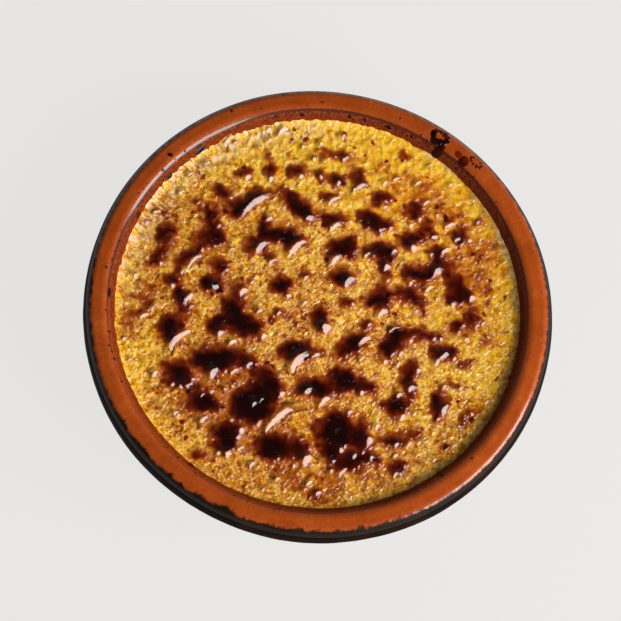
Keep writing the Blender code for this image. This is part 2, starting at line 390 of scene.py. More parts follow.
def inside_line():
    """From the inner edge of the lip's top down the wall's inside to the middle of the floor."""
    lip_centre = (LIP_TOP_INNER, DISH_HEIGHT - INNER_ROUND)
    lip = arc(lip_centre, INNER_ROUND, math.pi / 2, math.pi / 2 + INNER_TURN, 14)
    slope = math.pi + INNER_TURN
    bevel_end = moved(lip[-1], slope, 2.8)
    bevel = np.linspace(lip[-1], bevel_end, 9)[1:]
    wall = curve(bevel_end, moved(bevel_end, slope, 3.5), (FLOOR_EDGE[0] + 9.5, FLOOR_EDGE[1] + 0.2),
                 FLOOR_EDGE, 12)
    floor_line = np.stack([np.linspace(FLOOR_EDGE[0], 0.0, FLOOR_STEPS + 1)[1:],
                           np.full(FLOOR_STEPS, FLOOR_EDGE[1])], 1)
    return np.concatenate([lip, bevel, wall, floor_line])


def run_length(line):
    """The distance along a line to each of its points."""
    return np.concatenate([[0.0], np.cumsum(np.hypot(*np.diff(line, axis=0).T))])


outside, inside = outside_line(), inside_line()
inner_wall = inside[:-FLOOR_STEPS]


def wall_radius(height):
    """Radius of the dish's inside at a height."""
    return float(np.interp(height, inner_wall[::-1, 1], inner_wall[::-1, 0]))


print("outside line, mm:", round(run_length(outside)[-1], 1))
print("inside line, mm:", round(run_length(inside)[-1], 1))

# %% [markdown]
# ## Turn the dish
#
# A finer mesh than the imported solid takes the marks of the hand: the rim isn't a perfect circle, and
# the throwing left shallow rings on the outer wall. The outline is copied round the axis in arrays, and
# each copy is pushed a little by noise. Two values are kept on every point for the glaze: the distance
# along the clay, and a place on the wheel that makes streaks run across the lip.

# %% Mesh helpers
def new_piece(name, points, faces, material, sharp_from=None):
    """A mesh object from points in millimetres, shaded smooth up to the angle where it turns sharp."""
    mesh = bpy.data.meshes.new(name)
    mesh.from_pydata((np.asarray(points) * MM).tolist(), [], faces)
    mesh.materials.append(material)
    mesh.shade_smooth()
    if sharp_from:
        mesh.set_sharp_from_angle(angle=sharp_from)
    piece = bpy.data.objects.new(name, mesh)
    bpy.context.scene.collection.objects.link(piece)
    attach(piece, "root")
    return piece


def keep_values(piece, **fields):
    """Stores one number per point under each name, for the material to read."""
    for name, values in fields.items():
        layer = piece.data.attributes.new(name, "FLOAT", "POINT")
        layer.data.foreach_set("value", np.asarray(values, np.float32))


def band_faces(rows, count):
    """Quads between rows of a turned mesh, each row with the same count of points."""
    row, step = np.meshgrid(np.arange(rows - 1), np.arange(count), indexing="ij")
    a = row * count + step
    b = row * count + (step + 1) % count
    return np.stack([a, b, b + count, a + count], -1).reshape(-1, 4)


def fan_faces(first, second, middle):
    """Triangles from pairs of neighbours to one middle point."""
    return np.stack([first, second, np.full(len(first), middle)], 1)


print("mesh helpers ready")

# %% Points of the dish
DISH_TURNS = 540
OVAL = 0.35
OVAL_AZIMUTH = math.radians(-20.0)
RING_PITCH = 3.4

body_line = np.concatenate([outside[-2:0:-1], inside[:-1]])
body_along = np.concatenate([run_length(outside)[-2:0:-1], -run_length(inside)[:-1]])
around, along = np.meshgrid(np.linspace(0, 2 * np.pi, DISH_TURNS, endpoint=False), body_along)
radius = np.repeat(body_line[:, :1], DISH_TURNS, 1)
height = np.repeat(body_line[:, 1:], DISH_TURNS, 1)
wheel_x, wheel_y = np.cos(around), np.sin(around)


def lip_wobble(wheel_x, wheel_y):
    """How far the lip's circle strays outwards."""
    return 0.16 * soft_noise(wheel_x * 2, wheel_y * 2, 1.1, 11)


lip_share = ease(16.0, 24.0, height)
radius_wobble = lip_wobble(wheel_x, wheel_y) + OVAL * np.cos(around - OVAL_AZIMUTH)
radius_wobble = radius_wobble * lip_share * ease(-2.5, 6.0, along)
height_wobble = 0.10 * soft_noise(wheel_x * 2, wheel_y * 2, 0.9, 12) * lip_share
outer_wall = ease(6.0, 8.5, along) * ease(40.0, 30.0, along)
ring_shift = 1.2 * soft_noise(wheel_x * 3, wheel_y * 3, 1.0, 13)
rings = 0.11 * np.sin(2 * np.pi * along / RING_PITCH + around + ring_shift)
dimples = 0.05 * rough_noise(around * 40, along, 3.2, 14)
radius = np.minimum(radius + radius_wobble + outer_wall * (rings + dimples), DISH_RADIUS + OVAL)
height = height + np.minimum(height_wobble, 0.0)
dish_points = np.stack([radius * wheel_x, radius * wheel_y, height], 2).reshape(-1, 3)
print("dish points:", len(dish_points))

# %% Make the dish
rows = len(body_line)
foot_middle, floor_middle = len(dish_points), len(dish_points) + 1
dish_points = np.concatenate([dish_points, [[0, 0, 0.0], [0, 0, FLOOR_EDGE[1]]]])
step = np.arange(DISH_TURNS)
after = (step + 1) % DISH_TURNS
last = (rows - 1) * DISH_TURNS
dish_faces = band_faces(rows, DISH_TURNS).tolist()
dish_faces += fan_faces(after, step, foot_middle).tolist()
dish_faces += fan_faces(last + step, last + after, floor_middle).tolist()

glaze, tree, shader = new_material("terracotta_glaze")
dish = new_piece("dish_body", dish_points, dish_faces, glaze)
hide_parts("dish")
keep_values(dish, along=np.concatenate([along.ravel(), [body_along[0], body_along[-1]]]),
            wheel_x=np.concatenate([wheel_x.ravel(), [0, 0]]),
            wheel_y=np.concatenate([wheel_y.ravel(), [0, 0]]))
print("dish faces:", len(dish_faces))

# %% [markdown]
# ## Terracotta glaze
#
# Brick-red clay shows through a clear satin glaze on the lip. A near-black brown glaze covers the
# outside and creeps over the lip's edge in short feathered streaks, most of all on the near side.
# Inside, the wall is redder, with thin scorched lines. The foot is bare clay. All zones are read from
# the distance along the clay, so their edges follow the wheel.

# %% Clay of the lip
where = attribute("along")
wheel_across, wheel_up = attribute("wheel_x"), attribute("wheel_y")
wheel = node("ShaderNodeCombineXYZ", X=wheel_across, Y=wheel_up).outputs[0]
place = node("ShaderNodeTexCoord").outputs["Object"]
streak_place = node("ShaderNodeCombineXYZ", X=times(wheel_across, 30.0), Y=times(wheel_up, 30.0),
                    Z=times(where, 0.10)).outputs[0]
streaks = noise_node(streak_place, 1.4, 5.0, 0.65)
fine_streaks = noise_node(streak_place, 4.5, 3.0, 0.6)
mottle = noise_node(place, 160.0, 4.0, 0.6)
grit = noise_node(place, 1400.0, 2.0, 0.6)

clay = ramp(mottle, (0.30, 158, 66, 10), (0.52, 172, 74, 13), (0.75, 186, 86, 20))
clay = mix_colour(remap(fine_streaks, 0.40, 0.66, 0.0, 0.35), clay, linear(142, 56, 8))
clay = mix_colour(remap(grit, 0.56, 0.74, 0.0, 0.30), clay, linear(206, 120, 66))
print("clay nodes:", len(tree.nodes))

# %% Dark glaze over the lip's edge
NEAR_LEFT = (-0.62, -0.78, 0.0)
lean = reach_along(wheel, NEAR_LEFT)
edge_at = remap(lean, -1.0, 1.0, 3.50, 2.85, smooth=False)
blots = times(minus(noise_node(place, 260.0, 4.0, 0.65), 0.44), remap(lean, -0.1, 0.8, 0.0, 4.2))
ragged = plus(weighed(streaks, -2.4, 1.2), blots)
dark_edge = minus(plus(where, ragged), edge_at)
dark = remap(dark_edge, -0.50, 0.55)
dark_glaze = ramp(mottle, (0.3, 16, 9, 4), (0.6, 30, 17, 9), (0.8, 48, 28, 15))
coloured = mix_colour(dark, clay, dark_glaze)
print("with the dark glaze:", len(tree.nodes))

# %% Scorched inner wall
SCORCH_LINE_AT = -2.0
inner = remap(where, -1.4, -4.0)
inner_clay = mix_colour(remap(grit, 0.42, 0.62), linear(112, 38, 2), linear(136, 56, 8))
coloured = mix_colour(inner, coloured, inner_clay)
far_side = remap(reach_along(wheel, (0.0, 1.0, 0.0)), -0.35, 0.45)
soot = noise_node(place, 1100.0, 3.0, 0.7)
line_place = plus(where, times(streaks, 0.4))
from_line = math_node("ABSOLUTE", plus(line_place, -SCORCH_LINE_AT))
scorch_line = remap(minus(from_line, times(far_side, 0.35)), 0.20, 0.0)
soot_band = remap(minus(soot, times(from_line, 0.07)), 0.42, 0.50)
soot_band = times(times(soot_band, far_side), remap(where, -1.5, -2.1))
scorched = larger(times(scorch_line, 0.80), times(soot_band, 0.75))
coloured = mix_colour(scorched, coloured, linear(44, 16, 8))
print("with the scorched wall:", len(tree.nodes))

# %% Bare foot, gloss and grain of the glaze
GLAZE_BUMP = 0.12
bare = remap(plus(where, times(streaks, -3.0)), 31.5, 32.1)
raw_clay = ramp(mottle, (0.3, 168, 92, 56), (0.7, 192, 116, 76))
tree.links.new(mix_colour(bare, coloured, raw_clay), shader.inputs["Base Color"])
gloss = plus(plus(0.45, times(bare, 0.35)), times(remap(mottle, 0.3, 0.7), 0.08))
tree.links.new(plus(gloss, times(inner, 0.40)), shader.inputs["Roughness"])
relief = plus(times(fine_streaks, 0.7), times(grit, 0.3))
bump = node("ShaderNodeBump", Height=relief, Strength=0.35, Distance=GLAZE_BUMP * MM).outputs["Normal"]
tree.links.new(bump, shader.inputs["Normal"])
set_inputs(shader, Specular_IOR_Level=0.16, Coat_IOR=1.5, Coat_Roughness=0.13)
coat = mix_number(dark, 0.92, remap(dark_edge, 5.0, 9.0, 0.06, 0.60))
coat = mix_number(inner, coat, 0.08)
tree.links.new(times(coat, minus(1.0, bare)), shader.inputs["Coat Weight"])
print("glaze nodes:", len(tree.nodes))

# %% The outside has no satin under its coat
OUTSIDE_FROM = 5.3
outer_glaze = glaze.copy()
outer_glaze.name = "outside_glaze"
set_inputs(outer_glaze.node_tree.nodes["Principled BSDF"], Specular_IOR_Level=0.0)
dish.data.materials.append(outer_glaze)
outside_rows = body_along[:-1] > OUTSIDE_FROM
outside_faces = np.zeros(len(dish.data.polygons), np.int32)
outside_faces[:len(outside_rows) * DISH_TURNS] = np.repeat(outside_rows, DISH_TURNS)
outside_faces[len(outside_rows) * DISH_TURNS:][:DISH_TURNS] = 1
dish.data.polygons.foreach_set("material_index", outside_faces)
print("faces with the outside glaze:", int(outside_faces.sum()))

# %% [markdown]
# ## Where the sugar burnt
#
# The torch browned the sugar in patches, where it had bubbled up closest to the flame. Each patch is
# given as an oval: its centre, length, width and turn in millimetres and degrees from the
# dish's centre, and how dark it got, from amber to black. Neighbouring ovals melt into one another, so
# a ragged patch takes two or three of them.

# %% Burnt patches
PATCHES = [
    # far left
    (-20.0, 39.6, 3.6, 1.7, 32, 0.72), (-12.9, 40.6, 2.7, 2.4, 90, 0.76), (-13.0, 42.3, 2.2, 1.0, 80, 0.50),
    (-5.2, 40.8, 3.4, 2.5, 25, 0.80), (1.2, 39.6, 2.1, 2.1, 0, 0.86), (-26.2, 33.9, 5.0, 2.8, -38, 0.85),
    (-21.6, 29.2, 5.0, 3.8, 40, 0.95), (-17.0, 32.8, 6.0, 2.6, 38, 0.95), (-33.3, 31.6, 2.6, 1.2, 10, 0.50),
    (-30.0, 27.6, 4.0, 3.2, 100, 0.92), (-29.4, 24.2, 3.0, 1.8, 100, 0.75),
    (-28.6, 21.0, 5.6, 4.4, -50, 0.95), (-33.5, 20.3, 4.0, 2.4, 10, 0.50),
    (-34.6, 15.8, 9.5, 2.4, 34, 0.80), (-42.0, 22.0, 5.6, 2.8, 38, 0.90), (-41.2, 18.6, 3.0, 3.0, 0, 0.50),
    (-44.4, 14.7, 5.2, 2.2, 52, 0.90), (-9.0, 33.8, 4.4, 2.6, -20, 0.60), (-6.3, 31.2, 4.0, 3.6, -60, 0.75),
    (-3.8, 28.8, 6.4, 3.6, -38, 0.95), (2.0, 26.6, 4.0, 0.8, 0, 0.60), (-10.0, 21.5, 11.0, 3.8, -6, 1.00),
    (-15.3, 23.8, 4.0, 2.0, 110, 0.80), (-17.5, 18.6, 6.0, 3.0, 38, 0.75), (-7.5, 18.3, 3.4, 2.2, 60, 0.55),
    (-27.0, 12.4, 4.2, 3.0, -40, 0.85), (-29.4, 7.2, 5.6, 3.0, -8, 1.00), (-39.9, 8.4, 4.2, 2.4, -5, 0.90),
    (-37.9, 3.6, 5.0, 3.0, 105, 0.95), (-37.4, -0.6, 2.2, 2.0, 0, 0.85), (-10.0, 6.8, 5.0, 4.8, 0, 0.98),
    (-3.4, 10.1, 2.2, 1.5, -50, 0.70), (-13.2, 15.3, 3.2, 1.4, -25, 0.60), (-17.9, 11.8, 1.8, 1.4, 0, 0.35),
    (-22.0, 7.0, 5.0, 3.0, 40, 0.35), (-46.6, 6.8, 2.6, 0.9, -42, 0.60), (-50.0, 3.2, 3.0, 0.9, -5, 0.55),
    (-47.0, 1.2, 2.8, 1.0, 80, 0.60), (-43.0, 28.8, 5.0, 1.0, -5, 0.35), (-0.8, 45.4, 2.4, 1.0, 20, 0.45),
    (-8.0, 45.8, 1.0, 1.0, 0, 0.40), (-14.2, 45.2, 1.2, 1.0, 0, 0.40),
    # far right
    (6.6, 45.4, 5.4, 1.4, -8, 0.75), (5.8, 38.1, 2.5, 2.3, 0, 0.92), (12.0, 39.6, 3.8, 2.2, 100, 0.74),
    (12.3, 37.3, 1.8, 1.8, 90, 0.74), (3.9, 33.3, 3.8, 1.5, 10, 0.75), (18.0, 32.6, 3.8, 3.0, 30, 0.82),
    (11.4, 32.6, 2.2, 1.0, 0, 0.35), (5.4, 26.5, 4.2, 2.0, -5, 0.85), (13.6, 27.2, 4.0, 2.8, -30, 0.82),
    (16.0, 25.3, 5.0, 4.0, -25, 0.90), (19.0, 24.8, 3.6, 1.8, -15, 0.80), (26.4, 28.6, 4.6, 3.2, 10, 0.55),
    (28.0, 29.2, 3.8, 2.2, 80, 0.80), (34.8, 30.3, 2.4, 2.2, 90, 0.50), (31.9, 26.0, 2.2, 1.3, 10, 0.75),
    (38.6, 27.0, 4.2, 1.4, 30, 0.55), (31.4, 22.9, 4.2, 1.7, -28, 0.70), (26.0, 20.8, 4.8, 2.8, 5, 0.92),
    (26.0, 18.9, 2.4, 1.6, 90, 0.80), (40.4, 22.6, 4.6, 2.2, 60, 0.75), (38.8, 21.0, 2.4, 1.8, 30, 0.60),
    (6.4, 17.8, 6.2, 4.6, 10, 0.95), (8.8, 19.8, 2.2, 1.8, 60, 0.85), (9.0, 16.4, 2.6, 1.8, -40, 0.85),
    (17.6, 17.4, 7.2, 3.2, -8, 0.88), (18.8, 16.6, 3.4, 2.4, 0, 0.95), (7.0, 9.4, 5.0, 4.0, -20, 0.98),
    (18.2, 12.2, 4.0, 1.8, 98, 0.82), (18.3, 6.3, 1.4, 1.3, 0, 0.50), (28.8, 10.3, 7.6, 3.4, 3, 0.97),
    (25.8, 11.8, 2.4, 1.4, 30, 0.80), (34.0, 14.4, 5.2, 3.2, -75, 0.92), (33.0, 17.6, 2.2, 1.8, 60, 0.65),
    (36.6, 10.6, 3.6, 3.0, -40, 0.82), (39.4, 6.6, 4.6, 3.8, 95, 0.85), (38.6, 3.6, 4.6, 3.0, 10, 0.85),
    (41.6, 3.6, 4.0, 1.6, -60, 0.60), (16.8, 2.8, 6.2, 3.6, 8, 0.95), (22.0, 4.9, 6.0, 1.6, 2, 0.85),
    (26.6, 3.4, 4.4, 2.2, -38, 0.92), (29.3, 1.3, 3.0, 2.0, 90, 0.55), (7.9, 1.9, 2.8, 2.6, 0, 0.60),
    (47.9, 5.9, 2.6, 1.6, 0, 0.60), (46.9, 2.1, 1.6, 1.3, 0, 0.70), (2.4, 8.6, 1.1, 1.0, 0, 0.60),
    (25.4, 45.5, 1.8, 1.3, -30, 0.85), (30.0, 34.8, 2.6, 2.4, 0, 0.35), (19.6, 41.3, 2.6, 2.0, 0, 0.35),
    (50.0, 19.4, 2.0, 1.6, 90, 0.40), (45.0, 9.6, 2.6, 1.2, -20, 0.45), (46.8, 14.4, 3.2, 1.2, -20, 0.40),
    (42.8, 17.0, 2.6, 1.2, 90, 0.40), (45.5, 26.0, 2.0, 1.0, 30, 0.50),
    # near left
    (-23.4, 0.0, 7.0, 5.6, 90, 0.97), (-27.0, -4.0, 7.0, 4.2, 28, 0.92), (-20.0, -4.6, 8.6, 4.8, -14, 0.97),
    (-41.2, -6.0, 6.6, 4.0, 98, 0.98), (-38.6, -4.4, 3.2, 3.0, -30, 0.70),
    (-29.0, -15.0, 10.6, 6.2, -4, 0.98), (-25.2, -13.0, 4.4, 3.0, -20, 0.92),
    (-19.8, -14.8, 6.4, 3.6, -22, 0.80), (-38.0, -18.8, 5.6, 5.4, -20, 0.95),
    (-41.4, -16.4, 3.0, 2.4, -60, 0.70), (-31.0, -26.8, 7.4, 4.8, -12, 0.94),
    (-34.0, -29.0, 3.0, 2.0, -50, 0.45), (-38.0, -26.8, 3.4, 0.7, -8, 0.40),
    (-17.8, -27.0, 12.0, 10.0, 30, 1.00), (-14.6, -20.2, 6.0, 5.6, 100, 0.85),
    (-12.0, -22.6, 4.0, 4.0, 90, 0.90), (-25.2, -35.8, 7.0, 6.2, -60, 1.00),
    (-25.8, -38.8, 3.2, 2.2, 60, 0.85), (-12.6, -39.2, 8.0, 7.2, -15, 1.00),
    (-6.2, -39.6, 6.4, 5.8, -10, 0.82), (-5.6, -11.2, 7.0, 4.2, -8, 0.94),
    (-9.0, -13.0, 2.6, 2.0, 30, 0.70), (0.0, -12.2, 3.0, 1.2, 0, 0.60), (-1.0, -22.4, 9.0, 5.0, -3, 0.97),
    (-32.5, -41.4, 2.8, 1.0, -32, 0.75), (-11.0, -1.4, 1.6, 1.0, 30, 0.85), (-7.0, -1.8, 2.0, 1.6, 0, 0.40),
    (-53.0, -4.6, 3.2, 1.4, -10, 0.45), (-50.6, -1.8, 3.0, 1.2, 10, 0.50), (-8.0, -47.6, 5.0, 2.0, 0, 0.40),
    (-34.0, -22.4, 7.0, 4.0, -30, 0.50), (-1.0, -46.8, 3.6, 1.0, -10, 0.55),
    (-0.6, -52.2, 3.4, 1.4, 0, 0.60), (-5.5, -50.5, 3.0, 1.5, 0, 0.40),
    # near right
    (0.8, -1.6, 4.0, 3.4, 95, 0.90), (0.6, -4.8, 3.2, 2.4, 100, 0.85), (7.0, -20.4, 7.0, 6.0, -30, 0.97),
    (12.6, -22.0, 5.4, 3.0, -8, 0.85), (7.0, -11.8, 5.0, 2.6, 25, 0.85), (10.0, -9.4, 5.0, 3.4, 45, 0.92),
    (19.4, -11.0, 5.6, 4.4, 30, 0.95), (21.8, -7.6, 5.2, 3.8, 60, 0.97), (27.4, -6.6, 6.4, 2.2, -4, 0.75),
    (13.6, -4.1, 2.2, 1.5, 0, 0.75), (32.6, -7.8, 4.0, 1.1, -10, 0.80), (33.2, -12.2, 3.6, 3.4, 50, 0.80),
    (36.2, -11.6, 3.0, 2.4, -20, 0.92), (39.9, -15.7, 2.6, 1.8, 0, 0.65), (25.2, -16.6, 3.4, 2.4, 70, 0.88),
    (24.4, -19.8, 3.6, 2.6, 80, 0.93), (25.2, -24.2, 3.0, 2.4, -60, 0.75),
    (21.4, -27.6, 4.6, 4.0, 30, 0.98), (18.4, -26.8, 2.4, 1.4, 0, 0.70), (32.6, -25.6, 4.0, 3.4, 100, 0.95),
    (32.6, -29.0, 4.4, 2.8, 90, 0.75), (37.4, -21.0, 3.8, 1.3, -22, 0.65), (42.4, -29.2, 4.0, 1.0, 5, 0.45),
    (39.4, -31.4, 3.2, 1.6, 90, 0.45), (34.8, -38.4, 3.2, 1.6, -15, 0.40),
    (4.4, -34.4, 10.4, 9.2, 90, 1.00), (3.6, -40.6, 5.6, 4.4, 100, 0.95), (10.8, -36.6, 6.0, 4.8, 90, 0.85),
    (12.4, -42.4, 9.6, 3.0, -5, 0.82), (7.6, -43.2, 4.0, 2.6, 0, 0.90), (12.4, -33.2, 3.0, 2.2, -20, 0.60),
    (19.6, -37.2, 6.4, 2.8, -5, 0.82), (25.8, -35.6, 3.8, 2.0, 25, 0.65), (21.4, -44.4, 2.8, 1.6, 0, 0.90),
    (27.0, -43.0, 2.0, 1.1, 0, 0.50), (43.2, -2.2, 4.2, 2.4, 95, 0.95), (38.8, -4.2, 2.6, 2.4, 0, 0.95),
    (46.4, -8.4, 2.2, 1.8, 20, 0.50), (5.0, -47.5, 3.0, 1.6, 20, 0.40), (12.0, -47.0, 3.0, 2.0, 0, 0.40),
]
print("burnt patches:", len(PATCHES))
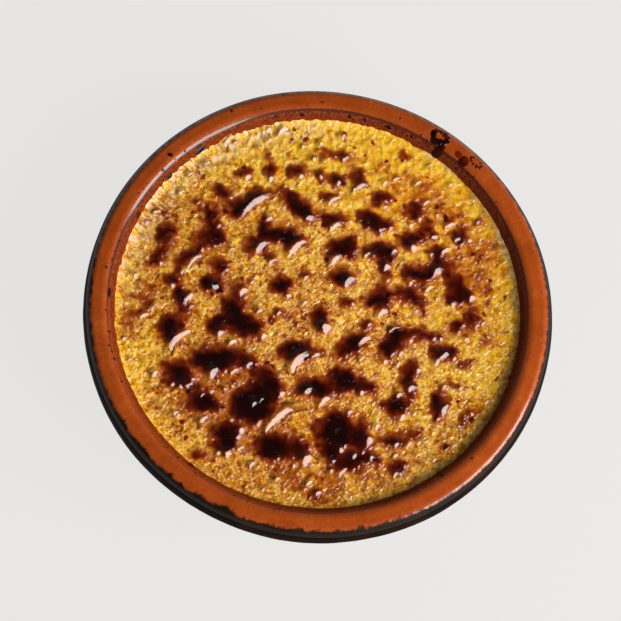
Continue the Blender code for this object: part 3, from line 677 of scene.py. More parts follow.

# %% [markdown]
# ## Where the sugar ran smooth
#
# On the side of each blister that faces the soft box, the syrup ran down and set like glass. These
# smooth faces are what mirror the light as white strokes. Each is listed: centre, length,
# width and turn. Its middle bulges away from the light, the more the longer it is.

# %% Smooth faces
SHINES = [
    # far left
    (-16.9, 30.6, 10.8, 1.4, 36), (-13.3, 26.3, 3.0, 0.8, 30), (-2.2, 26.4, 2.6, 1.5, 8),
    (-15.8, 17.8, 4.6, 1.3, 60), (-5.8, 17.6, 7.4, 1.3, 46), (-12.3, 13.9, 3.2, 0.8, 14),
    (-34.0, 13.6, 5.8, 1.0, 42), (-37.0, 10.8, 3.0, 0.8, 66), (-28.3, 6.0, 2.8, 1.3, 5),
    (-35.7, 2.5, 4.6, 1.5, 60), (-34.6, 0.6, 2.2, 0.8, 8), (-20.6, 4.6, 3.6, 1.5, 55),
    (-18.2, 7.6, 2.8, 0.6, 32), (-7.9, 3.8, 2.0, 1.1, 0), (-16.0, -0.6, 2.8, 0.9, 22),
    (-3.7, 1.7, 2.6, 0.8, 60), (-40.2, 6.3, 1.4, 1.1, 45), (-43.5, 18.2, 0.9, 0.8, 45),
    (-28.6, 18.0, 0.8, 0.7, 45), (-30.4, 17.4, 0.9, 0.6, 40), (-43.4, 12.9, 1.4, 0.8, 45),
    (-41.4, 13.8, 1.0, 0.7, 40), (-37.7, 33.8, 3.0, 0.9, 10), (-33.0, 30.8, 2.4, 0.7, 20),
    (-24.0, 32.3, 1.6, 0.9, 60), (-19.3, 38.5, 2.4, 1.1, 48), (-12.7, 38.1, 2.0, 1.2, 40),
    (-4.2, 38.7, 1.7, 1.2, 45), (-0.6, 44.2, 1.5, 1.1, 45), (1.3, 38.9, 1.3, 1.2, 45),
    (-3.2, 9.0, 1.8, 1.0, 72), (-23.8, 17.0, 2.2, 0.8, 66), (-27.3, 24.0, 2.2, 0.7, 12),
    (-9.3, 52.4, 4.0, 1.2, 30), (-13.4, 52.4, 2.6, 1.1, 72), (-13.0, 49.6, 2.2, 1.1, 72),
    (-25.0, 48.5, 5.0, 1.0, 76), (-22.6, 48.8, 1.6, 1.0, 50), (-30.8, 42.2, 3.0, 1.0, 30),
    (-35.4, 39.0, 2.2, 1.0, 45), (-16.0, 47.5, 1.6, 0.8, 50), (-3.6, 48.0, 1.4, 0.9, 45),
    (-44.5, 27.8, 3.0, 0.8, 5), (-47.5, 24.5, 2.0, 0.8, 70), (-41.5, 5.0, 1.4, 0.6, 50),
    (-50.5, 9.5, 1.6, 0.8, 55),
    # far right
    (8.3, 44.3, 2.8, 0.8, 28), (6.3, 37.0, 2.2, 1.2, 5), (12.3, 35.8, 5.4, 1.1, 24),
    (4.8, 31.9, 4.6, 1.0, 28), (19.2, 30.0, 1.9, 0.9, 62), (5.4, 24.2, 4.8, 1.1, 18),
    (20.6, 23.8, 1.6, 0.8, 40), (17.6, 23.2, 1.0, 0.8, 45), (12.2, 25.8, 2.2, 0.6, 8),
    (28.8, 26.3, 1.6, 1.0, 35), (26.3, 24.8, 1.2, 0.9, 30), (31.0, 31.5, 3.2, 0.8, 45),
    (37.4, 24.9, 4.2, 0.8, 18), (45.4, 25.8, 1.8, 0.8, 60), (32.9, 21.3, 2.6, 0.9, 2),
    (39.4, 20.6, 2.4, 1.0, 14), (42.7, 20.4, 1.4, 1.0, 35), (27.1, 18.0, 2.3, 1.7, 48),
    (21.5, 17.2, 2.0, 0.9, 22), (35.7, 17.0, 4.2, 1.0, 55), (32.0, 16.2, 1.6, 1.0, 60),
    (5.0, 14.2, 3.6, 1.4, 42), (3.4, 12.6, 1.6, 0.7, 45), (19.3, 12.3, 2.4, 1.5, 15),
    (19.8, 8.5, 2.0, 0.7, 75), (33.5, 11.1, 3.0, 1.6, 24), (25.3, 9.0, 1.1, 0.9, 45),
    (26.0, 7.8, 1.7, 1.0, 15), (31.3, 6.5, 3.2, 0.8, 22), (8.8, 8.0, 3.8, 1.5, 40),
    (14.0, 15.9, 2.8, 0.7, 26), (38.1, 37.0, 2.0, 0.8, 58), (28.5, 37.2, 3.2, 0.8, 50),
    (19.3, 37.3, 2.6, 0.9, 45), (22.5, 38.5, 3.2, 0.7, 14), (7.9, 51.0, 2.6, 1.1, 75),
    (43.0, 3.6, 2.2, 1.3, 34), (37.6, 1.7, 1.4, 0.9, 30), (33.0, 3.2, 1.2, 1.0, 45),
    (18.0, -1.0, 4.0, 1.3, 24), (27.4, -0.2, 1.4, 0.8, 60), (9.7, 1.5, 1.2, 1.0, 45),
    (24.0, 14.0, 2.2, 0.6, 55), (1.6, 48.7, 1.6, 1.2, 40), (2.4, 43.2, 1.2, 1.0, 40),
    (32.0, 42.5, 2.2, 0.7, 70), (33.8, 28.0, 1.4, 0.7, 60), (45.6, 14.2, 1.0, 0.8, 45),
    # near left
    (-38.6, -9.4, 9.2, 1.4, 53), (-10.8, -1.3, 1.8, 0.9, 24), (-5.6, -5.0, 2.6, 0.6, 88),
    (-27.0, -7.2, 2.0, 1.2, 50), (-23.4, -9.6, 3.2, 1.2, 10), (-15.0, -8.0, 2.0, 1.4, 45),
    (-10.6, -7.2, 2.2, 0.7, 5), (-5.2, -15.2, 8.6, 1.8, 46), (-0.6, -13.2, 3.2, 0.8, 10),
    (-28.7, -18.5, 3.4, 1.3, 52), (-23.0, -18.0, 3.2, 0.9, 28), (-19.0, -16.2, 2.6, 1.1, 28),
    (-39.6, -22.0, 2.4, 1.3, 5), (-37.6, -22.6, 2.4, 1.3, 0), (-35.3, -22.0, 2.8, 0.8, 22),
    (-44.8, -18.8, 2.6, 1.1, 50), (-48.0, -2.2, 3.2, 0.8, 30), (-44.8, 0.5, 4.0, 0.8, 40),
    (-31.8, -24.8, 1.8, 0.9, 55), (-29.1, -23.8, 1.8, 1.0, 65), (-17.6, -27.3, 2.4, 1.0, 32),
    (-15.6, -26.0, 1.6, 0.6, 36), (-31.4, -31.6, 3.6, 1.1, 40), (-39.0, -29.8, 2.0, 1.0, 45),
    (-24.0, -31.7, 1.4, 0.8, 40), (-21.0, -34.5, 2.0, 1.2, 62), (-9.7, -30.6, 13.4, 1.6, 33),
    (-27.2, -41.0, 2.8, 1.1, 0), (-24.6, -41.2, 3.0, 1.2, 24), (-21.3, -39.5, 2.6, 0.8, 14),
    (-3.3, -42.9, 3.8, 1.7, 62), (-3.0, -23.6, 2.8, 1.5, 20), (-10.0, -24.2, 1.8, 1.1, 55),
    (-10.2, -18.8, 1.4, 0.7, 60), (-18.3, -44.0, 2.4, 1.1, 66), (-11.4, -48.0, 2.0, 1.0, 68),
    (-2.8, -49.0, 2.6, 0.9, 18), (-0.5, -51.9, 2.4, 0.9, 18), (-19.5, -51.0, 2.0, 0.7, 28),
    (-15.2, -50.8, 1.6, 0.7, 14), (-4.2, -50.8, 1.6, 0.6, 36), (-7.0, -44.2, 1.4, 0.9, 55),
    (-53.0, -8.8, 2.0, 0.8, 14), (-26.0, -20.6, 0.9, 0.7, 45), (-25.8, -23.0, 1.1, 0.8, 35),
    (-23.7, -22.2, 1.0, 0.8, 45), (-18.0, -20.8, 0.9, 0.7, 45), (-34.3, -20.4, 1.4, 1.0, 50),
    (-31.8, -23.0, 0.9, 0.8, 45), (-28.8, -26.0, 0.8, 0.6, 45), (-32.0, -33.9, 1.4, 0.8, 10),
    (-51.5, -14.8, 2.0, 0.7, 20),
    # near right
    (2.4, -5.6, 3.0, 2.3, 55), (1.5, -26.4, 4.6, 1.0, 38), (12.9, -8.9, 4.6, 0.9, 24),
    (20.9, -5.6, 3.6, 0.8, 25), (32.2, -8.2, 1.9, 0.9, 12), (34.0, -8.2, 1.2, 0.9, 30),
    (32.9, -14.9, 3.0, 1.1, 66), (35.0, -13.1, 3.2, 1.1, 24), (37.6, -14.0, 1.6, 0.8, 20),
    (14.2, -4.3, 1.6, 0.8, 0), (25.5, -22.4, 2.6, 1.4, 52), (22.1, -24.4, 2.0, 1.1, 60),
    (27.5, -17.2, 1.8, 0.8, 45), (22.8, -30.8, 2.6, 0.9, 70), (34.6, -28.4, 3.6, 1.4, 60),
    (34.5, -21.8, 1.6, 0.7, 40), (39.0, -22.5, 2.2, 0.7, 50), (13.8, -37.2, 2.3, 1.6, 48),
    (9.5, -41.6, 1.9, 1.1, 10), (12.0, -40.5, 1.3, 1.0, 40), (14.2, -42.0, 1.7, 1.1, 32),
    (6.0, -39.8, 1.3, 1.0, 45), (3.8, -43.0, 1.2, 1.0, 60), (3.3, -45.6, 1.3, 1.0, 45),
    (6.1, -46.2, 3.2, 0.9, 62), (21.1, -38.4, 2.0, 0.8, 28), (24.6, -38.2, 2.0, 0.8, 36),
    (20.8, -41.2, 2.0, 0.8, 16), (20.6, -46.8, 2.6, 0.7, 45), (11.7, -23.8, 1.4, 0.9, 32),
    (11.8, -14.4, 2.4, 0.9, 30), (18.3, -15.0, 1.6, 1.0, 36), (22.0, -15.8, 2.4, 0.8, 88),
    (22.8, -12.5, 2.2, 0.7, 50), (25.5, -8.8, 1.4, 0.8, 50), (8.4, -29.3, 2.0, 0.9, 58),
    (16.0, -33.2, 2.2, 0.9, 30), (47.0, -7.6, 0.9, 0.8, 45), (41.9, -29.5, 1.2, 1.0, 45),
    (52.2, -15.5, 1.3, 0.9, 60), (38.3, -33.0, 1.0, 0.8, 45), (37.8, -17.0, 1.2, 0.7, 35),
    (29.2, -37.5, 1.8, 0.7, 55), (41.0, -8.2, 1.8, 0.6, 40), (39.0, -6.4, 1.4, 0.6, 10),
    (45.8, -3.6, 1.8, 0.6, 50), (26.2, -29.6, 1.8, 0.8, 15), (50.5, -0.5, 1.4, 0.7, 50),
    (13.0, -50.2, 1.4, 0.6, 50), (7.0, -51.5, 1.4, 0.6, 50), (31.0, -42.6, 1.8, 0.6, 62),
]
print("smooth faces:", len(SHINES))

# %% [markdown]
# ## Warm and pale areas
#
# Away from the burnt patches the colour still drifts: orange where the sugar is half way to burning,
# clear yellow where the torch only brushed it. Round areas with soft edges are enough: centre, radius
# and how warm, where a negative value is paler.

# %% Drifts of colour
TONES = [
    (-33, 39, 4, 0.7), (-41, 29, 5, 0.8), (-36, 29, 3, 0.5), (-33, 23, 4, 0.7), (-22, 7, 5, 0.9),
    (-18, 11, 2, 0.7), (-48, 3, 5, 0.7), (-52, -5, 4, 0.9), (-44, 24, 4, 0.3), (-10, 34, 4, 0.5),
    (-25, 46, 4, 0.3), (-5, 55, 4, 0.4), (0, 3, 5, 0.7), (0, 8, 3, 0.5), (19, 42, 5, 0.7), (31, 35, 6, 1.3),
    (37, 31, 5, 1.1), (25, 28, 4, 0.6), (43, 14, 6, 1.2), (47, 19, 4, 1.2), (44, 8, 4, 1.2),
    (36, 9, 4, 0.5), (46, -7, 3, 0.6), (40, -13, 3, 0.4), (26, 38, 4, 1.1), (-34, -26, 6, 0.8),
    (-37, -32, 5, 0.6), (-26, -10, 6, 0.5), (-30, -21, 6, 0.9), (-44, -24, 4, 0.4), (-24, -47, 5, 0.7),
    (-8, -49, 6, 0.9), (2, -50, 5, 0.7), (-27, -30, 3, 0.6), (15, -29, 4, 0.6), (25, -38, 5, 0.6),
    (14, -46, 5, 0.7), (40, -30, 4, 0.8), (35, -38, 4, 0.8), (32, -33, 3, 0.4), (-7, -2, 5, 0.6),
    (14, -8, 4, 0.4), (22, -20, 5, 0.4), (16, 20, 6, 0.3), (5, 44, 6, 0.2), (0, 50, 8, -0.5),
    (-10, 46, 6, -0.6), (25, 46, 7, -0.7), (38, 38, 5, -0.5), (-20, 44, 5, -0.6), (-30, 36, 4, -0.4),
    (-45, 36, 5, -0.4), (-3, 20, 7, -0.4), (22, 22, 4, -0.3), (30, 3, 5, -0.5), (24, -4, 4, -0.4),
    (-13, -7, 5, -0.5), (-46, -12, 6, -0.6), (-48, -20, 5, -0.5), (12, 32, 5, -0.3), (45, -18, 7, -0.6),
    (36, -34, 5, -0.2), (26, -45, 5, -0.4), (-34, -40, 5, -0.5), (5, -15, 6, -0.3), (-20, 12, 5, -0.1),
    (-38, 12, 5, -0.2), (50, 2, 5, -0.6), (-24, -10, 3, -0.7), (35, -5, 4, -0.3), (27, -30, 13, -0.9),
    (40, -14, 11, -0.6), (12, -33, 9, -0.4), (-22, -20, 13, 0.6), (-10, -36, 10, 0.5), (21, 21, 7, -0.45),
    (2, 43, 12, -0.60),
]
print("drifts of colour:", len(TONES))

# %% [markdown]
# ## The crust's own mesh
#
# A round sheet with even triangles is best built from rings, where ring k has 6 k points. No triangle
# is long and thin, so the relief looks the same in the middle and at the edge. The sheet gets the
# custard's side and bottom too, which makes it one closed body that reaches the clay all round.

# %% Points and faces of the crust's sheet
CRUST_RINGS = 170
CONTACT_RISE = 1.0
SUNK_IN_CLAY = 0.12
CONTACT_LEVEL = CRUST_LEVEL + CONTACT_RISE
CRUST_RADIUS = wall_radius(CONTACT_LEVEL) + SUNK_IN_CLAY


def ring_disc(radius, rings):
    """Flat points and triangles of a round sheet, and the number of the first point on its rim."""
    points, faces = [np.zeros((1, 2))], []
    start = 0
    for k in range(1, rings + 1):
        angle = 2 * np.pi * np.arange(6 * k) / (6 * k)
        points.append(radius * k / rings * np.stack([np.cos(angle), np.sin(angle)], 1))
        inner_count = max(6 * (k - 1), 1)
        outer = start + inner_count
        i = np.arange(6 * k)
        sector, j = i // k, i % k
        a, b = outer + i, outer + (i + 1) % (6 * k)
        c = start + (sector * (k - 1) + j) % inner_count
        d = start + (sector * (k - 1) + j + 1) % inner_count
        faces.append(np.stack([a, b, c], 1))
        faces.append(np.stack([c, b, d], 1)[j < k - 1])
        start = outer
    return np.concatenate(points), np.concatenate(faces), start


flat, crust_faces, rim_start = ring_disc(CRUST_RADIUS, CRUST_RINGS)
compass = np.arctan2(flat[:, 1], flat[:, 0])
edge_shift = 0.30 * rough_noise(np.cos(compass) * 20, np.sin(compass) * 20, 1.7, 43)
edge_shift = edge_shift + 0.16 * soft_noise(np.cos(compass) * 58, np.sin(compass) * 58, 2.1, 44)
for most, azimuth in ((0.55, 132.0), (0.25, 85.0)):
    edge_shift = edge_shift + most * ease(0.70, 0.95, np.cos(compass - math.radians(azimuth)))
flat = flat * (1 + edge_shift / CRUST_RADIUS * ease(44.0, 56.0, np.hypot(*flat.T)))[:, None]
x, y = flat.T
from_axis = np.hypot(x, y)
print("crust points:", len(flat), "faces:", len(crust_faces))

# %% [markdown]
# ## Heights of the crust
#
# Four things shape the surface. The whole sheet swells and dips a little. Each patch is a blister: flat
# on top and steep at its side, which is where the soft box is mirrored as a white stroke. Between them
# lie popped bubbles. At the wall the custard climbs, as any set cream does.

# %% Blisters and swells
def patch_distance(px, py, patch):
    """Roughly how far a point lies outside an oval, in millimetres. Inside it is negative."""
    cx, cy, length, width, turn_deg = patch[:5]
    c, s = math.cos(math.radians(turn_deg)), math.sin(math.radians(turn_deg))
    u, v = ((px - cx) * c + (py - cy) * s), ((py - cy) * c - (px - cx) * s)
    a, b = length / 2, width / 2
    reach = np.hypot(u / a, v / b)
    steep = np.hypot(u / a ** 2, v / b ** 2)
    return reach * (reach - 1.0) / np.maximum(steep, 1e-6)


torn_x = x + 0.95 * soft_noise(x, y, 3.2, 21) + 0.48 * soft_noise(x, y, 1.4, 22)
torn_y = y + 0.95 * soft_noise(x, y, 3.2, 23) + 0.48 * soft_noise(x, y, 1.4, 24)
edge_softness = soft_noise(x, y, 4.0, 27)
unburnt = np.ones_like(x)
halo, haze, dome = np.zeros((3, len(x)))
for patch in PATCHES:
    darkness = patch[5]
    size = math.sqrt(patch[2] * patch[3])
    away = patch_distance(torn_x, torn_y, patch)
    away = away / (1.0 + 0.45 * edge_softness)
    beyond = np.maximum(away, 0.0)
    unburnt = unburnt * (1 - darkness * ease(2.95, -2.1, away))
    halo = np.maximum(halo, darkness * np.exp(-beyond / (1.0 + 0.16 * size)))
    haze = np.maximum(haze, darkness * np.exp(-beyond / (1.6 + 0.35 * size)))
    tall = min(0.10 + 0.05 * size, 0.42) * (0.5 + 0.5 * darkness)
    dome = dome + (tall * ease(1.9, -0.6, away)) ** 3
burn = 1 - unburnt
dome = np.cbrt(dome)
swell = 0.20 * soft_noise(x, y, 22.0, 31) + 0.12 * soft_noise(x, y, 9.0, 32)
print("burnt share of the crust:", round(float((burn > 0.5).mean()), 3))

# %% Slip faces that mirror the soft box
FACE_AZIMUTH = math.radians(-47.5)
FACE_SLOPE = 0.667
SAG_SHARE = 0.17
LEAST_LEAN = 0.12
MOST_CHANGE = 0.6

wavy_x = x + 0.16 * soft_noise(x, y, 1.3, 25)
wavy_y = y + 0.16 * soft_noise(x, y, 1.3, 26)
smooth_z = swell + dome
shine = np.zeros_like(x)
for cx, cy, length, width, turn_deg in SHINES:
    near = np.flatnonzero(np.hypot(x - cx, y - cy) < length / 2 + width + 4.5)
    nx, ny = wavy_x[near] - cx, wavy_y[near] - cy
    c, s = math.cos(math.radians(turn_deg)), math.sin(math.radians(turn_deg))
    lengthwise = nx * c + ny * s
    from_middle = (2 * lengthwise / length) ** 2
    across = nx * s - ny * c + SAG_SHARE * length * (0.4 - np.minimum(from_middle, 1.5))
    toward = FACE_SLOPE * math.sin(math.radians(turn_deg) - FACE_AZIMUTH)
    half = width / 2 * (0.96 - 0.34 * np.minimum(from_middle, 1.0))
    past_end = np.maximum(np.abs(lengthwise) - (length - width) / 2, 0.0)
    outside_by = np.hypot(past_end, np.maximum(np.abs(across) - half + width / 2, 0.0)) - width / 2
    end = ease(0.9, -0.5, past_end - width / 2)
    rise = ease(-half - 1.2 - 0.9 * width, -half, across)
    fall = np.clip(0.5 - across / (2 * half), 0.0, 1.0)
    smooth_z[near] += max(toward, LEAST_LEAN) * 2 * half * end * np.where(across < -half, rise, fall)
    middle = near[np.argmin(np.hypot(nx, ny) + np.abs(across))]
    mask = ease(0.22, -0.10, outside_by)
    plane = smooth_z[middle] - (x[near] - x[middle]) * FACE_SLOPE * math.cos(FACE_AZIMUTH)
    plane = plane - (y[near] - y[middle]) * FACE_SLOPE * math.sin(FACE_AZIMUTH)
    limit = np.clip(plane, smooth_z[near] - MOST_CHANGE, smooth_z[near] + MOST_CHANGE)
    smooth_z[near] += mask * (limit - smooth_z[near])
    shine[near] = np.maximum(shine[near], ease(0.40, -0.02, outside_by))
print("slip faces:", len(SHINES))
print("smooth relief, mm:", round(float(smooth_z.min()), 2), "to", round(float(smooth_z.max()), 2))

# %% Warm and pale areas
warmth = np.zeros_like(x)
for cx, cy, reach, amount in TONES:
    warmth = warmth + amount * np.exp(-((x - cx) ** 2 + (y - cy) ** 2) / reach ** 2)
warmth = 0.60 * np.clip(warmth, -1.0, 1.2) + 0.95 * haze - 0.15
warmth = warmth + 0.32 * soft_noise(x, y, 7.0, 51) + 0.42 * soft_noise(x, y, 2.4, 52)
warmth = warmth - 0.24 * y / CRUST_RADIUS
print("warmth from", round(float(warmth.min()), 2), "to", round(float(warmth.max()), 2))

# %% Freckles and clouds of burnt sugar
FRECKLES = 260
FRECKLES_WITHIN = 56

cloud = rough_noise(x, y, 4.6, 55) + 0.60 * haze
burn = 1 - (1 - burn) * (1 - 0.36 * ease(0.30, 1.15, cloud))
rng = np.random.default_rng(61)
freckle = np.zeros_like(x)
for _ in range(FRECKLES):
    r, t = FRECKLES_WITHIN * math.sqrt(rng.uniform(0.05, 0.92)), rng.uniform(0, 2 * math.pi)
    cx, cy, size = r * math.cos(t), r * math.sin(t), rng.uniform(0.35, 0.9)
    near = np.flatnonzero((np.abs(x - cx) < 4) & (np.abs(y - cy) < 4))
    stretch = rng.uniform(0.55, 1.0)
    spot = (cx, cy, 2 * size, 2 * size * stretch, rng.uniform(0, 180))
    away = patch_distance(torn_x[near], torn_y[near], spot)
    freckle[near] = np.maximum(freckle[near], rng.uniform(0.25, 0.75) * ease(0.5, -0.4, away))
burn = 1 - (1 - burn) * (1 - freckle)
print("points with freckles:", int((freckle > 0.1).sum()))

# %% Add the popped bubbles and the rise at the wall
to_wall = CRUST_RADIUS + edge_shift - from_axis
coarse = ease(16, 46, from_axis) * (0.72 + 0.28 * np.cos(compass - math.radians(130.0)))
coarse = np.clip(coarse + 0.25 * soft_noise(x, y, 8.0, 53), 0.0, 1.0)
bend_x = x + 0.34 * soft_noise(x, y, 1.9, 41)
bend_y = y + 0.34 * soft_noise(x, y, 1.9, 42)
large = bubbles(bend_x, bend_y, 2.30, 35)
small = bubbles(bend_x + 40, bend_y - 30, 1.25, 36)
lumps = -(0.17 + 0.17 * coarse) * large - (0.07 + 0.06 * coarse) * small
lumps = lumps + 0.08 * soft_noise(x, y, 1.7, 37)
grain = np.clip(1.0 - 0.6 * large - 0.5 * small, 0.0, 1.0)

shade_side = 0.5 + 0.5 * np.cos(compass - math.radians(-25.0))
bare_width = -0.9 + 2.7 * shade_side ** 2
bare_width = bare_width + 1.6 * soft_noise(np.cos(compass) * 9, np.sin(compass) * 9, 1.0, 38)
bare = ease(0.7, -0.7, to_wall - bare_width + 1.3 * rough_noise(x, y, 1.8, 39))
climb = np.exp(-to_wall / 1.1)
still = (1 - 0.93 * shine) * (1 - 0.80 * ease(0.30, 0.85, burn)) * (0.15 + 0.85 * (1.0 - bare))
crust_z = CRUST_LEVEL + (1 - climb) * (smooth_z + lumps * still)
crust_z = crust_z + (CONTACT_RISE + 1.19 * edge_shift) * climb
print("relief from", round(float(crust_z.min()), 2), "to", round(float(crust_z.max()), 2), "mm")

# %% Painted highlight: pale streaks where the sheet runs up the wall
streak_zone = ease(48.5, 53.0, from_axis) * ease(0.60, 0.92, np.cos(compass - math.radians(128.0)))
streak = soft_noise(compass * 56 / 0.62, from_axis / 3.2 + 0.6 * soft_noise(x, y, 3.0, 62), 1.0, 63)
glint_streaks = streak_zone * ease(0.0, 0.40, streak) * (1 - 0.8 * ease(0.2, 0.6, burn))
print("points with pale streaks:", int((glint_streaks > 0.5).sum()))

# %% Close the custard body below the crust
SIDE_GAP = 0.15
SIDE_HEIGHTS = (25.0, 20.0, 15.0, 10.0, 6.8)

bottom = FLOOR_EDGE[1] + SIDE_GAP
side_rings = [(wall_radius(level) - SIDE_GAP, level) for level in SIDE_HEIGHTS]
side_rings.append((FLOOR_EDGE[0] - SIDE_GAP, bottom))
rim_angle = compass[rim_start:]
rim_count = len(rim_angle)
i = np.arange(rim_count)
after = (i + 1) % rim_count
side_points, side_faces = [], []
upper, lower = rim_start, len(flat)
for r, level in side_rings:
    side_points.append(np.stack([r * np.cos(rim_angle), r * np.sin(rim_angle), np.full(rim_count, level)], 1))
    side_faces.append(np.stack([upper + i, lower + i, lower + after], 1))
    side_faces.append(np.stack([upper + i, lower + after, upper + after], 1))
    upper, lower = lower, lower + rim_count
side_faces.append(fan_faces(upper + after, upper + i, lower))
body_points = np.concatenate([np.stack([x, y, crust_z], 1), *side_points, [[0.0, 0.0, bottom]]])
body_faces = np.concatenate([crust_faces, *side_faces])
print("custard body triangles:", len(body_faces))

# %% [markdown]
# ## Burnt sugar
#
# Burnt sugar is clear glass over pale custard: thin sugar looks golden, thicker or hotter sugar goes
# amber, red-brown and then black. So one value, how burnt a point is, runs through a colour ramp. Popped
# bubbles and foam break the gold up, and the far right is clearer and glassier. A clear coat gives the
# wet shine. Some colour is painted light: pale highlight streaks at the far left edge, painted shade on
# the bare custard and towards the near right, and painted shade under the smooth faces, which dims their
# highlights.

# %% Values that the sugar reads
sugar_glass, tree, shader = new_material("burnt_sugar")
place = node("ShaderNodeTexCoord").outputs["Object"]
burn_value = attribute("burn")
halo_value = attribute("halo")
bare_value = attribute("bare")
shine_value = attribute("shine")
grain_value = attribute("grain")
warm_value = attribute("warmth")
coarse_value = attribute("coarse")
glint_streak_value = attribute("glint_streaks")
print("sugar nodes so far:", len(tree.nodes))

# %% Small popped bubbles, finer than the mesh
STRETCH = 1.6
STRETCH_WAY = math.radians(42.5)
SWIRL = 0.8
FOAM_SIZE = 0.85


def vector_node(operation, a, b):
    return node("ShaderNodeVectorMath", {"operation": operation}, _0=a, _1=b).outputs[0]


def cells_node(where, size):
    """Flat cells of about a size in millimetres: the distance from a cell's middle, and a colour each."""
    return node("ShaderNodeTexVoronoi", {"feature": "F1", "voronoi_dimensions": "2D"}, Vector=where,
                Scale=1.0 / (size * MM))


swirl = node("ShaderNodeTexNoise", Vector=place, Scale=900.0, Detail=2.0, Roughness=0.5).outputs["Color"]
swirl = vector_node("SUBTRACT", swirl, (0.5, 0.5, 0.5))
swirl = node("ShaderNodeVectorMath", {"operation": "SCALE"}, _0=swirl, Scale=SWIRL * MM).outputs[0]
bent_place = vector_node("ADD", place, swirl)
long_way = (math.cos(STRETCH_WAY) / STRETCH, math.sin(STRETCH_WAY) / STRETCH, 0.0)
cross_way = (-math.sin(STRETCH_WAY), math.cos(STRETCH_WAY), 0.0)
long_place = node("ShaderNodeCombineXYZ", X=reach_along(bent_place, long_way),
                  Y=reach_along(bent_place, cross_way)).outputs[0]


def popped_bubbles(size, shift, wall):
    """Oval dents of about a size in millimetres, as deep as their walls are wide. Depth is 0 to 1."""
    cells = cells_node(vector_node("ADD", long_place, (shift, 0.0, 0.0)), size)
    luck = node("ShaderNodeSeparateXYZ", _0=cells.outputs["Color"]).outputs[0]
    depth = minus(weighed(luck, 0.34, 0.36), cells.outputs["Distance"])
    return times(smaller(larger(depth, 0.0), wall), size)


large_dents = popped_bubbles(1.35, 0.0, 0.30)
small_dents = popped_bubbles(0.80, 0.013, 0.40)
wide_dents = popped_bubbles(2.10, 0.027, 0.22)
patchy = noise_node(place, 300.0, 4.0, 0.6)
spread = noise_node(place, 700.0, 2.0, 0.6)
foam = remap(cells_node(bent_place, FOAM_SIZE).outputs["Distance"], 0.58, 0.14)
print("with the bubbles:", len(tree.nodes))

# %% Gold, from syrup to pale foam
warm = remap(plus(warm_value, weighed(patchy, 1.5, -0.75)), -0.35, 1.0, smooth=False)
pale = ramp(warm, (0.0, 246, 226, 116), (0.5, 244, 206, 98), (1.0, 222, 152, 52))
golden = ramp(warm, (0.0, 248, 182, 10), (0.45, 220, 140, 6), (1.0, 166, 76, 2))
syrup = ramp(warm, (0.0, 208, 124, 2), (0.45, 168, 82, 0), (1.0, 108, 32, 0))
share = plus(weighed(small_dents, -0.40), weighed(spread, 0.7, -0.06))
share = plus(weighed(grain_value, 0.50), share)
share = plus(share, weighed(foam, 0.46, -0.25))
gold = mix_colour(remap(share, 0.18, 0.55), syrup, golden)
large_ring = times(remap(large_dents, 0.0, 0.12), remap(large_dents, 0.40, 0.24))
small_ring = times(remap(small_dents, 0.0, 0.09), remap(small_dents, 0.32, 0.18))
rings = times(larger(large_ring, small_ring), remap(spread, 0.38, 0.62))
pale_share = larger(remap(share, 0.66, 1.00), weighed(rings, 0.62))
gold = mix_colour(pale_share, gold, pale)
far_right = reach_along(place, (0.64, 0.77, 0.0))
glassy = ramp(warm, (0.0, 252, 196, 22), (0.45, 232, 152, 8), (1.0, 200, 92, 4))
gold = mix_colour(remap(far_right, 0.012, 0.046, 0.0, 0.50), gold, glassy)
freckles = noise_node(bent_place, 620.0, 1.0, 0.5)
freckles = times(remap(freckles, 0.60, 0.70), remap(warm, 0.22, 0.55))
gold = mix_colour(weighed(freckles, 0.42), gold, linear(156, 72, 6))
print("with the gold:", len(tree.nodes))

# %% Burnt sugar, painted highlight streaks, bare custard and painted shade
halo_edge = plus(halo_value, weighed(patchy, 0.9, -0.45))
amber = mix_colour(share, linear(150, 62, 0), linear(206, 116, 8))
coloured = mix_colour(remap(halo_edge, 0.18, 0.85), gold, amber)
scorch = plus(burn_value, weighed(patchy, 0.40, -0.20))
char = ramp(scorch, (0.20, 190, 102, 4), (0.42, 150, 62, 2), (0.60, 108, 30, 1),
            (0.78, 68, 10, 1), (0.96, 26, 4, 2), smooth=False)
coloured = mix_colour(remap(scorch, 0.08, 0.42), coloured, char)
# Painted highlight: cream streaks stand in for the soft box mirrored where the sheet runs up the far left
# wall
coloured = mix_colour(weighed(glint_streak_value, 0.85), coloured, linear(252, 226, 186))
# Painted shade: the bare custard is painted darker where the lip shades it on the right; only towards the far
# right does it keep a lit, paler colour
custard = mix_colour(remap(spread, 0.35, 0.62), linear(146, 98, 38), linear(202, 160, 78))
lit_custard = mix_colour(remap(spread, 0.32, 0.60), linear(196, 150, 66), linear(246, 224, 154))
custard = mix_colour(remap(far_right, 0.030, 0.052), custard, lit_custard)
coloured = mix_colour(bare_value, coloured, custard)
# Painted shade: the crust's colour is darkened towards the near right, as if less light fell there
near_right_shade = reach_along(place, (0.85, -0.53, 0.0))
coloured = mix_colour(remap(near_right_shade, 0.004, 0.052), coloured, linear(226, 223, 212), "MULTIPLY")
# Painted shade under the smooth faces: darker sugar there dims and tints the soft box's mirrored strokes,
# except on burnt sugar
shaded_under_highlight = mix_colour(weighed(shine_value, 0.78), coloured, linear(132, 72, 22))
coloured = mix_colour(remap(burn_value, 0.4, 0.8), shaded_under_highlight, coloured)
tree.links.new(coloured, shader.inputs["Base Color"])
print("with all colours:", len(tree.nodes))

# %% Gloss and fine relief of the sugar
FINE_RELIEF = 0.10
COAT_RELIEF = 1.0

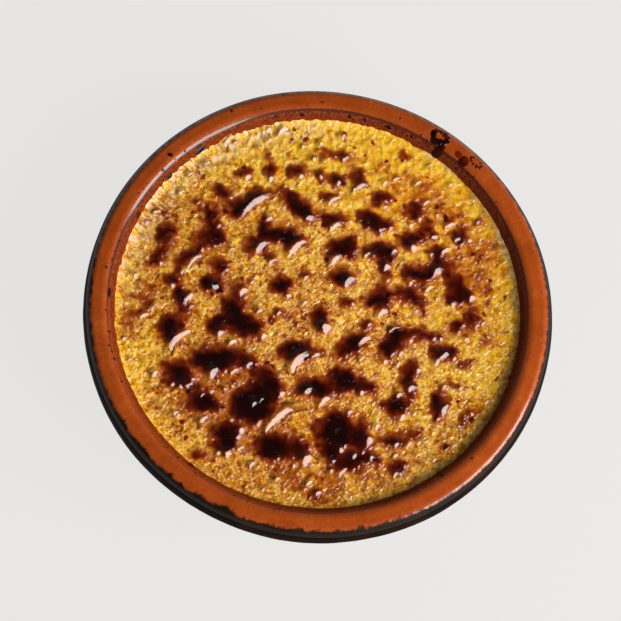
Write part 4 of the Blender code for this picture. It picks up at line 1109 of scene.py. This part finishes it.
set_inputs(shader, Roughness=0.42, Specular_IOR_Level=0.0)
set_inputs(shader, Coat_Weight=1.0, Coat_Roughness=0.10, Coat_IOR=1.5)
wide_dents = times(wide_dents, remap(coarse_value, 0.25, 0.45))
relief = weighed(larger(wide_dents, larger(large_dents, small_dents)), -0.68)
fade = times(remap(burn_value, 0.25, 0.8, 1.0, 0.10), remap(shine_value, 0.1, 0.8, 1.0, 0.03))
relief = times(relief, times(fade, remap(bare_value, 0.0, 1.0, 1.0, 0.45)))
for depth, normal in ((FINE_RELIEF, "Normal"), (COAT_RELIEF, "Coat Normal")):
    bump = node("ShaderNodeBump", Height=relief, Strength=1.0, Distance=depth * MM).outputs["Normal"]
    tree.links.new(bump, shader.inputs[normal])
print("sugar nodes:", len(tree.nodes))

# %% Make the crust
SHARP_FROM = math.radians(60)

crust = new_piece("crust", body_points, body_faces.tolist(), sugar_glass, SHARP_FROM)
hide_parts("custard")
rest = len(body_points) - len(flat)
on_crust = {"burn": burn, "halo": halo, "shine": shine, "grain": grain, "warmth": warmth, "coarse": coarse,
            "glint_streaks": glint_streaks}
keep_values(crust, **{name: np.pad(values, (0, rest)) for name, values in on_crust.items()},
            bare=np.pad(bare, (0, rest), constant_values=1.0))
print("crust faces:", len(crust.data.polygons))

# %% [markdown]
# ## Splashes on the rim
#
# Sugar spat while it burnt, and set on the clay as small domes: a curled black bead at the far right, a
# dark round spot beside it, and a dotted line of soot where the custard shrank from the wall. Each is
# laid on the outline's own height, so it hugs the lip. It is sugar, so it wears the sugar's material.

# %% Where the splashes are
SPLASHES = [
    # azimuth and distance from the axis, length outwards, width, turn, how burnt
    (53.4, 57.6, 4.4, 2.8, -14, 0.86), (55.6, 59.2, 2.4, 3.2, 10, 0.92), (46.2, 59.5, 3.4, 3.4, 0, 0.76),
    (48.4, 60.0, 1.8, 2.6, 0, 0.66), (44.0, 64.2, 1.2, 0.9, 90, 0.40), (67.0, 60.3, 0.7, 0.6, 0, 0.90),
    (112.8, 61.7, 1.1, 0.9, 0, 0.80), (169.8, 59.3, 1.0, 0.8, 90, 0.85), (314.0, 59.3, 0.8, 0.7, 0, 0.85),
    (76.0, 62.5, 1.3, 1.0, 60, 0.34), (88.3, 60.0, 0.7, 1.6, 0, 0.62), (133.3, 59.8, 1.9, 1.1, 20, 0.95),
    (133.0, 58.2, 1.8, 0.6, 0, 0.15), (129.5, 58.2, 0.8, 0.7, 0, 0.92), (137.7, 58.2, 1.0, 0.8, 40, 0.92),
    (143.5, 59.0, 0.5, 0.4, 0, 0.8), (145.2, 58.9, 0.6, 0.4, 0, 0.8), (147.0, 59.3, 0.5, 0.5, 0, 0.8),
    (149.0, 58.8, 0.5, 0.4, 0, 0.8), (176.5, 57.5, 0.8, 3.2, 0, 0.85), (125.5, 56.4, 1.4, 4.8, 8, 0.95),
    (137.0, 56.2, 1.2, 1.8, 0, 0.95), (62.0, 57.3, 0.9, 0.7, 0, 0.90), (69.0, 57.1, 0.8, 1.6, 0, 0.90),
    (76.0, 57.0, 0.7, 0.7, 0, 0.90), (80.5, 57.2, 0.8, 1.0, 0, 0.88), (305.0, 56.6, 3.0, 1.1, 0, 0.72),
    (340.0, 55.8, 0.8, 1.3, 0, 0.90), (351.5, 61.7, 0.6, 0.5, 0, 0.15), (346.0, 63.9, 0.7, 0.6, 0, 0.05),
    (94.0, 57.0, 0.9, 2.0, 0, 0.85), (101.5, 57.2, 0.8, 1.4, 0, 0.85), (152.0, 56.6, 0.9, 2.0, 0, 0.90),
    (232.0, 56.4, 0.9, 2.2, 0, 0.80),
]


def bead_ring(azimuth, distance, half_length, half_width, bead, low_burn, high_burn, count):
    """Beads round an oval on the lip. The half nearer the custard burns darker."""
    beads = []
    for angle in np.linspace(0, 2 * np.pi, count, endpoint=False):
        darkness = low_burn if math.sin(angle) < 0.3 else high_burn
        beads.append((azimuth + math.degrees(half_width * math.cos(angle) / distance),
                      distance + half_length * math.sin(angle), bead * (1.0 + 0.25 * math.cos(3 * angle)),
                      bead, 50 * math.sin(5 * angle), darkness))
    return beads


SPLASHES += bead_ring(55.1, 61.0, 1.5, 2.2, 1.90, 0.97, 0.74, 10)
SPLASHES += bead_ring(43.4, 61.8, 1.0, 1.9, 1.15, 0.66, 0.56, 9)
SPRAYS = [
    # count, azimuths from and to, distances from and to
    (34, 158, 214, 57.6, 58.5), (26, 22, 58, 57.0, 58.9), (14, 60, 125, 56.6, 57.6),
    (18, 215, 262, 57.0, 58.2), (10, 0, 360, 58.0, 62.5),
]
rng = np.random.default_rng(71)
for count, first, last, low, high in SPRAYS:
    for _ in range(count):
        length = rng.uniform(0.25, 0.60)
        SPLASHES.append((rng.uniform(first, last), rng.uniform(low, high), length,
                         length * rng.uniform(0.7, 1.6), rng.uniform(0, 90), rng.uniform(0.70, 0.95)))
print("splashes on the rim:", len(SPLASHES))

# %% Lay the splashes on the lip
BEAD_RINGS, BEAD_SIDES = 4, 12
BEAD_SUNK = 0.05
lip_line = np.concatenate([inner_wall[::-1], outside[1:30]])


def lip_height(px, py):
    """Height of the lip's clay at flat points, with the lip's own unroundness taken off."""
    angle = np.arctan2(py, px)
    distance = np.hypot(px, py) - lip_wobble(np.cos(angle), np.sin(angle))
    return np.interp(distance, lip_line[:, 0], lip_line[:, 1])


bead_points, bead_faces, bead_burn = [], [], []
for azimuth, distance, length, width, turn_deg, darkness in SPLASHES:
    first = len(bead_points)
    a, t = math.radians(azimuth), math.radians(azimuth + turn_deg)
    centre = (distance * math.cos(a), distance * math.sin(a))
    ragged = rng.uniform(0.85, 1.15, BEAD_SIDES)
    tall = 0.20 * min(math.sqrt(length * width), 1.4)
    for ring in range(BEAD_RINGS + 1):
        share = ring / BEAD_RINGS
        lift = tall * math.sqrt(max(1 - share * share, 0.0)) - BEAD_SUNK
        for k in range(BEAD_SIDES):
            angle = 2 * math.pi * k / BEAD_SIDES
            u = length / 2 * share * ragged[k] * math.cos(angle)
            v = width / 2 * share * ragged[k] * math.sin(angle)
            px = centre[0] + u * math.cos(t) - v * math.sin(t)
            py = centre[1] + u * math.sin(t) + v * math.cos(t)
            bead_points.append((px, py, float(lip_height(px, py)) + lift))
            bead_burn.append(darkness)
    bead_faces += (band_faces(BEAD_RINGS + 1, BEAD_SIDES)[:, ::-1] + first).tolist()

rim_sugar = sugar_glass.copy()
rim_sugar.name = "sugar_on_the_rim"
set_inputs(rim_sugar.node_tree.nodes["Principled BSDF"], Coat_Weight=0.45, Coat_Roughness=0.24)
splashes = new_piece("rim_splashes", bead_points, bead_faces, rim_sugar)
no_values = np.zeros(len(bead_points))
nothing_else = dict.fromkeys(("shine", "grain", "warmth", "coarse", "glint_streaks", "bare"), no_values)
keep_values(splashes, burn=bead_burn, halo=bead_burn, **nothing_else)
print("splash faces:", len(bead_faces))
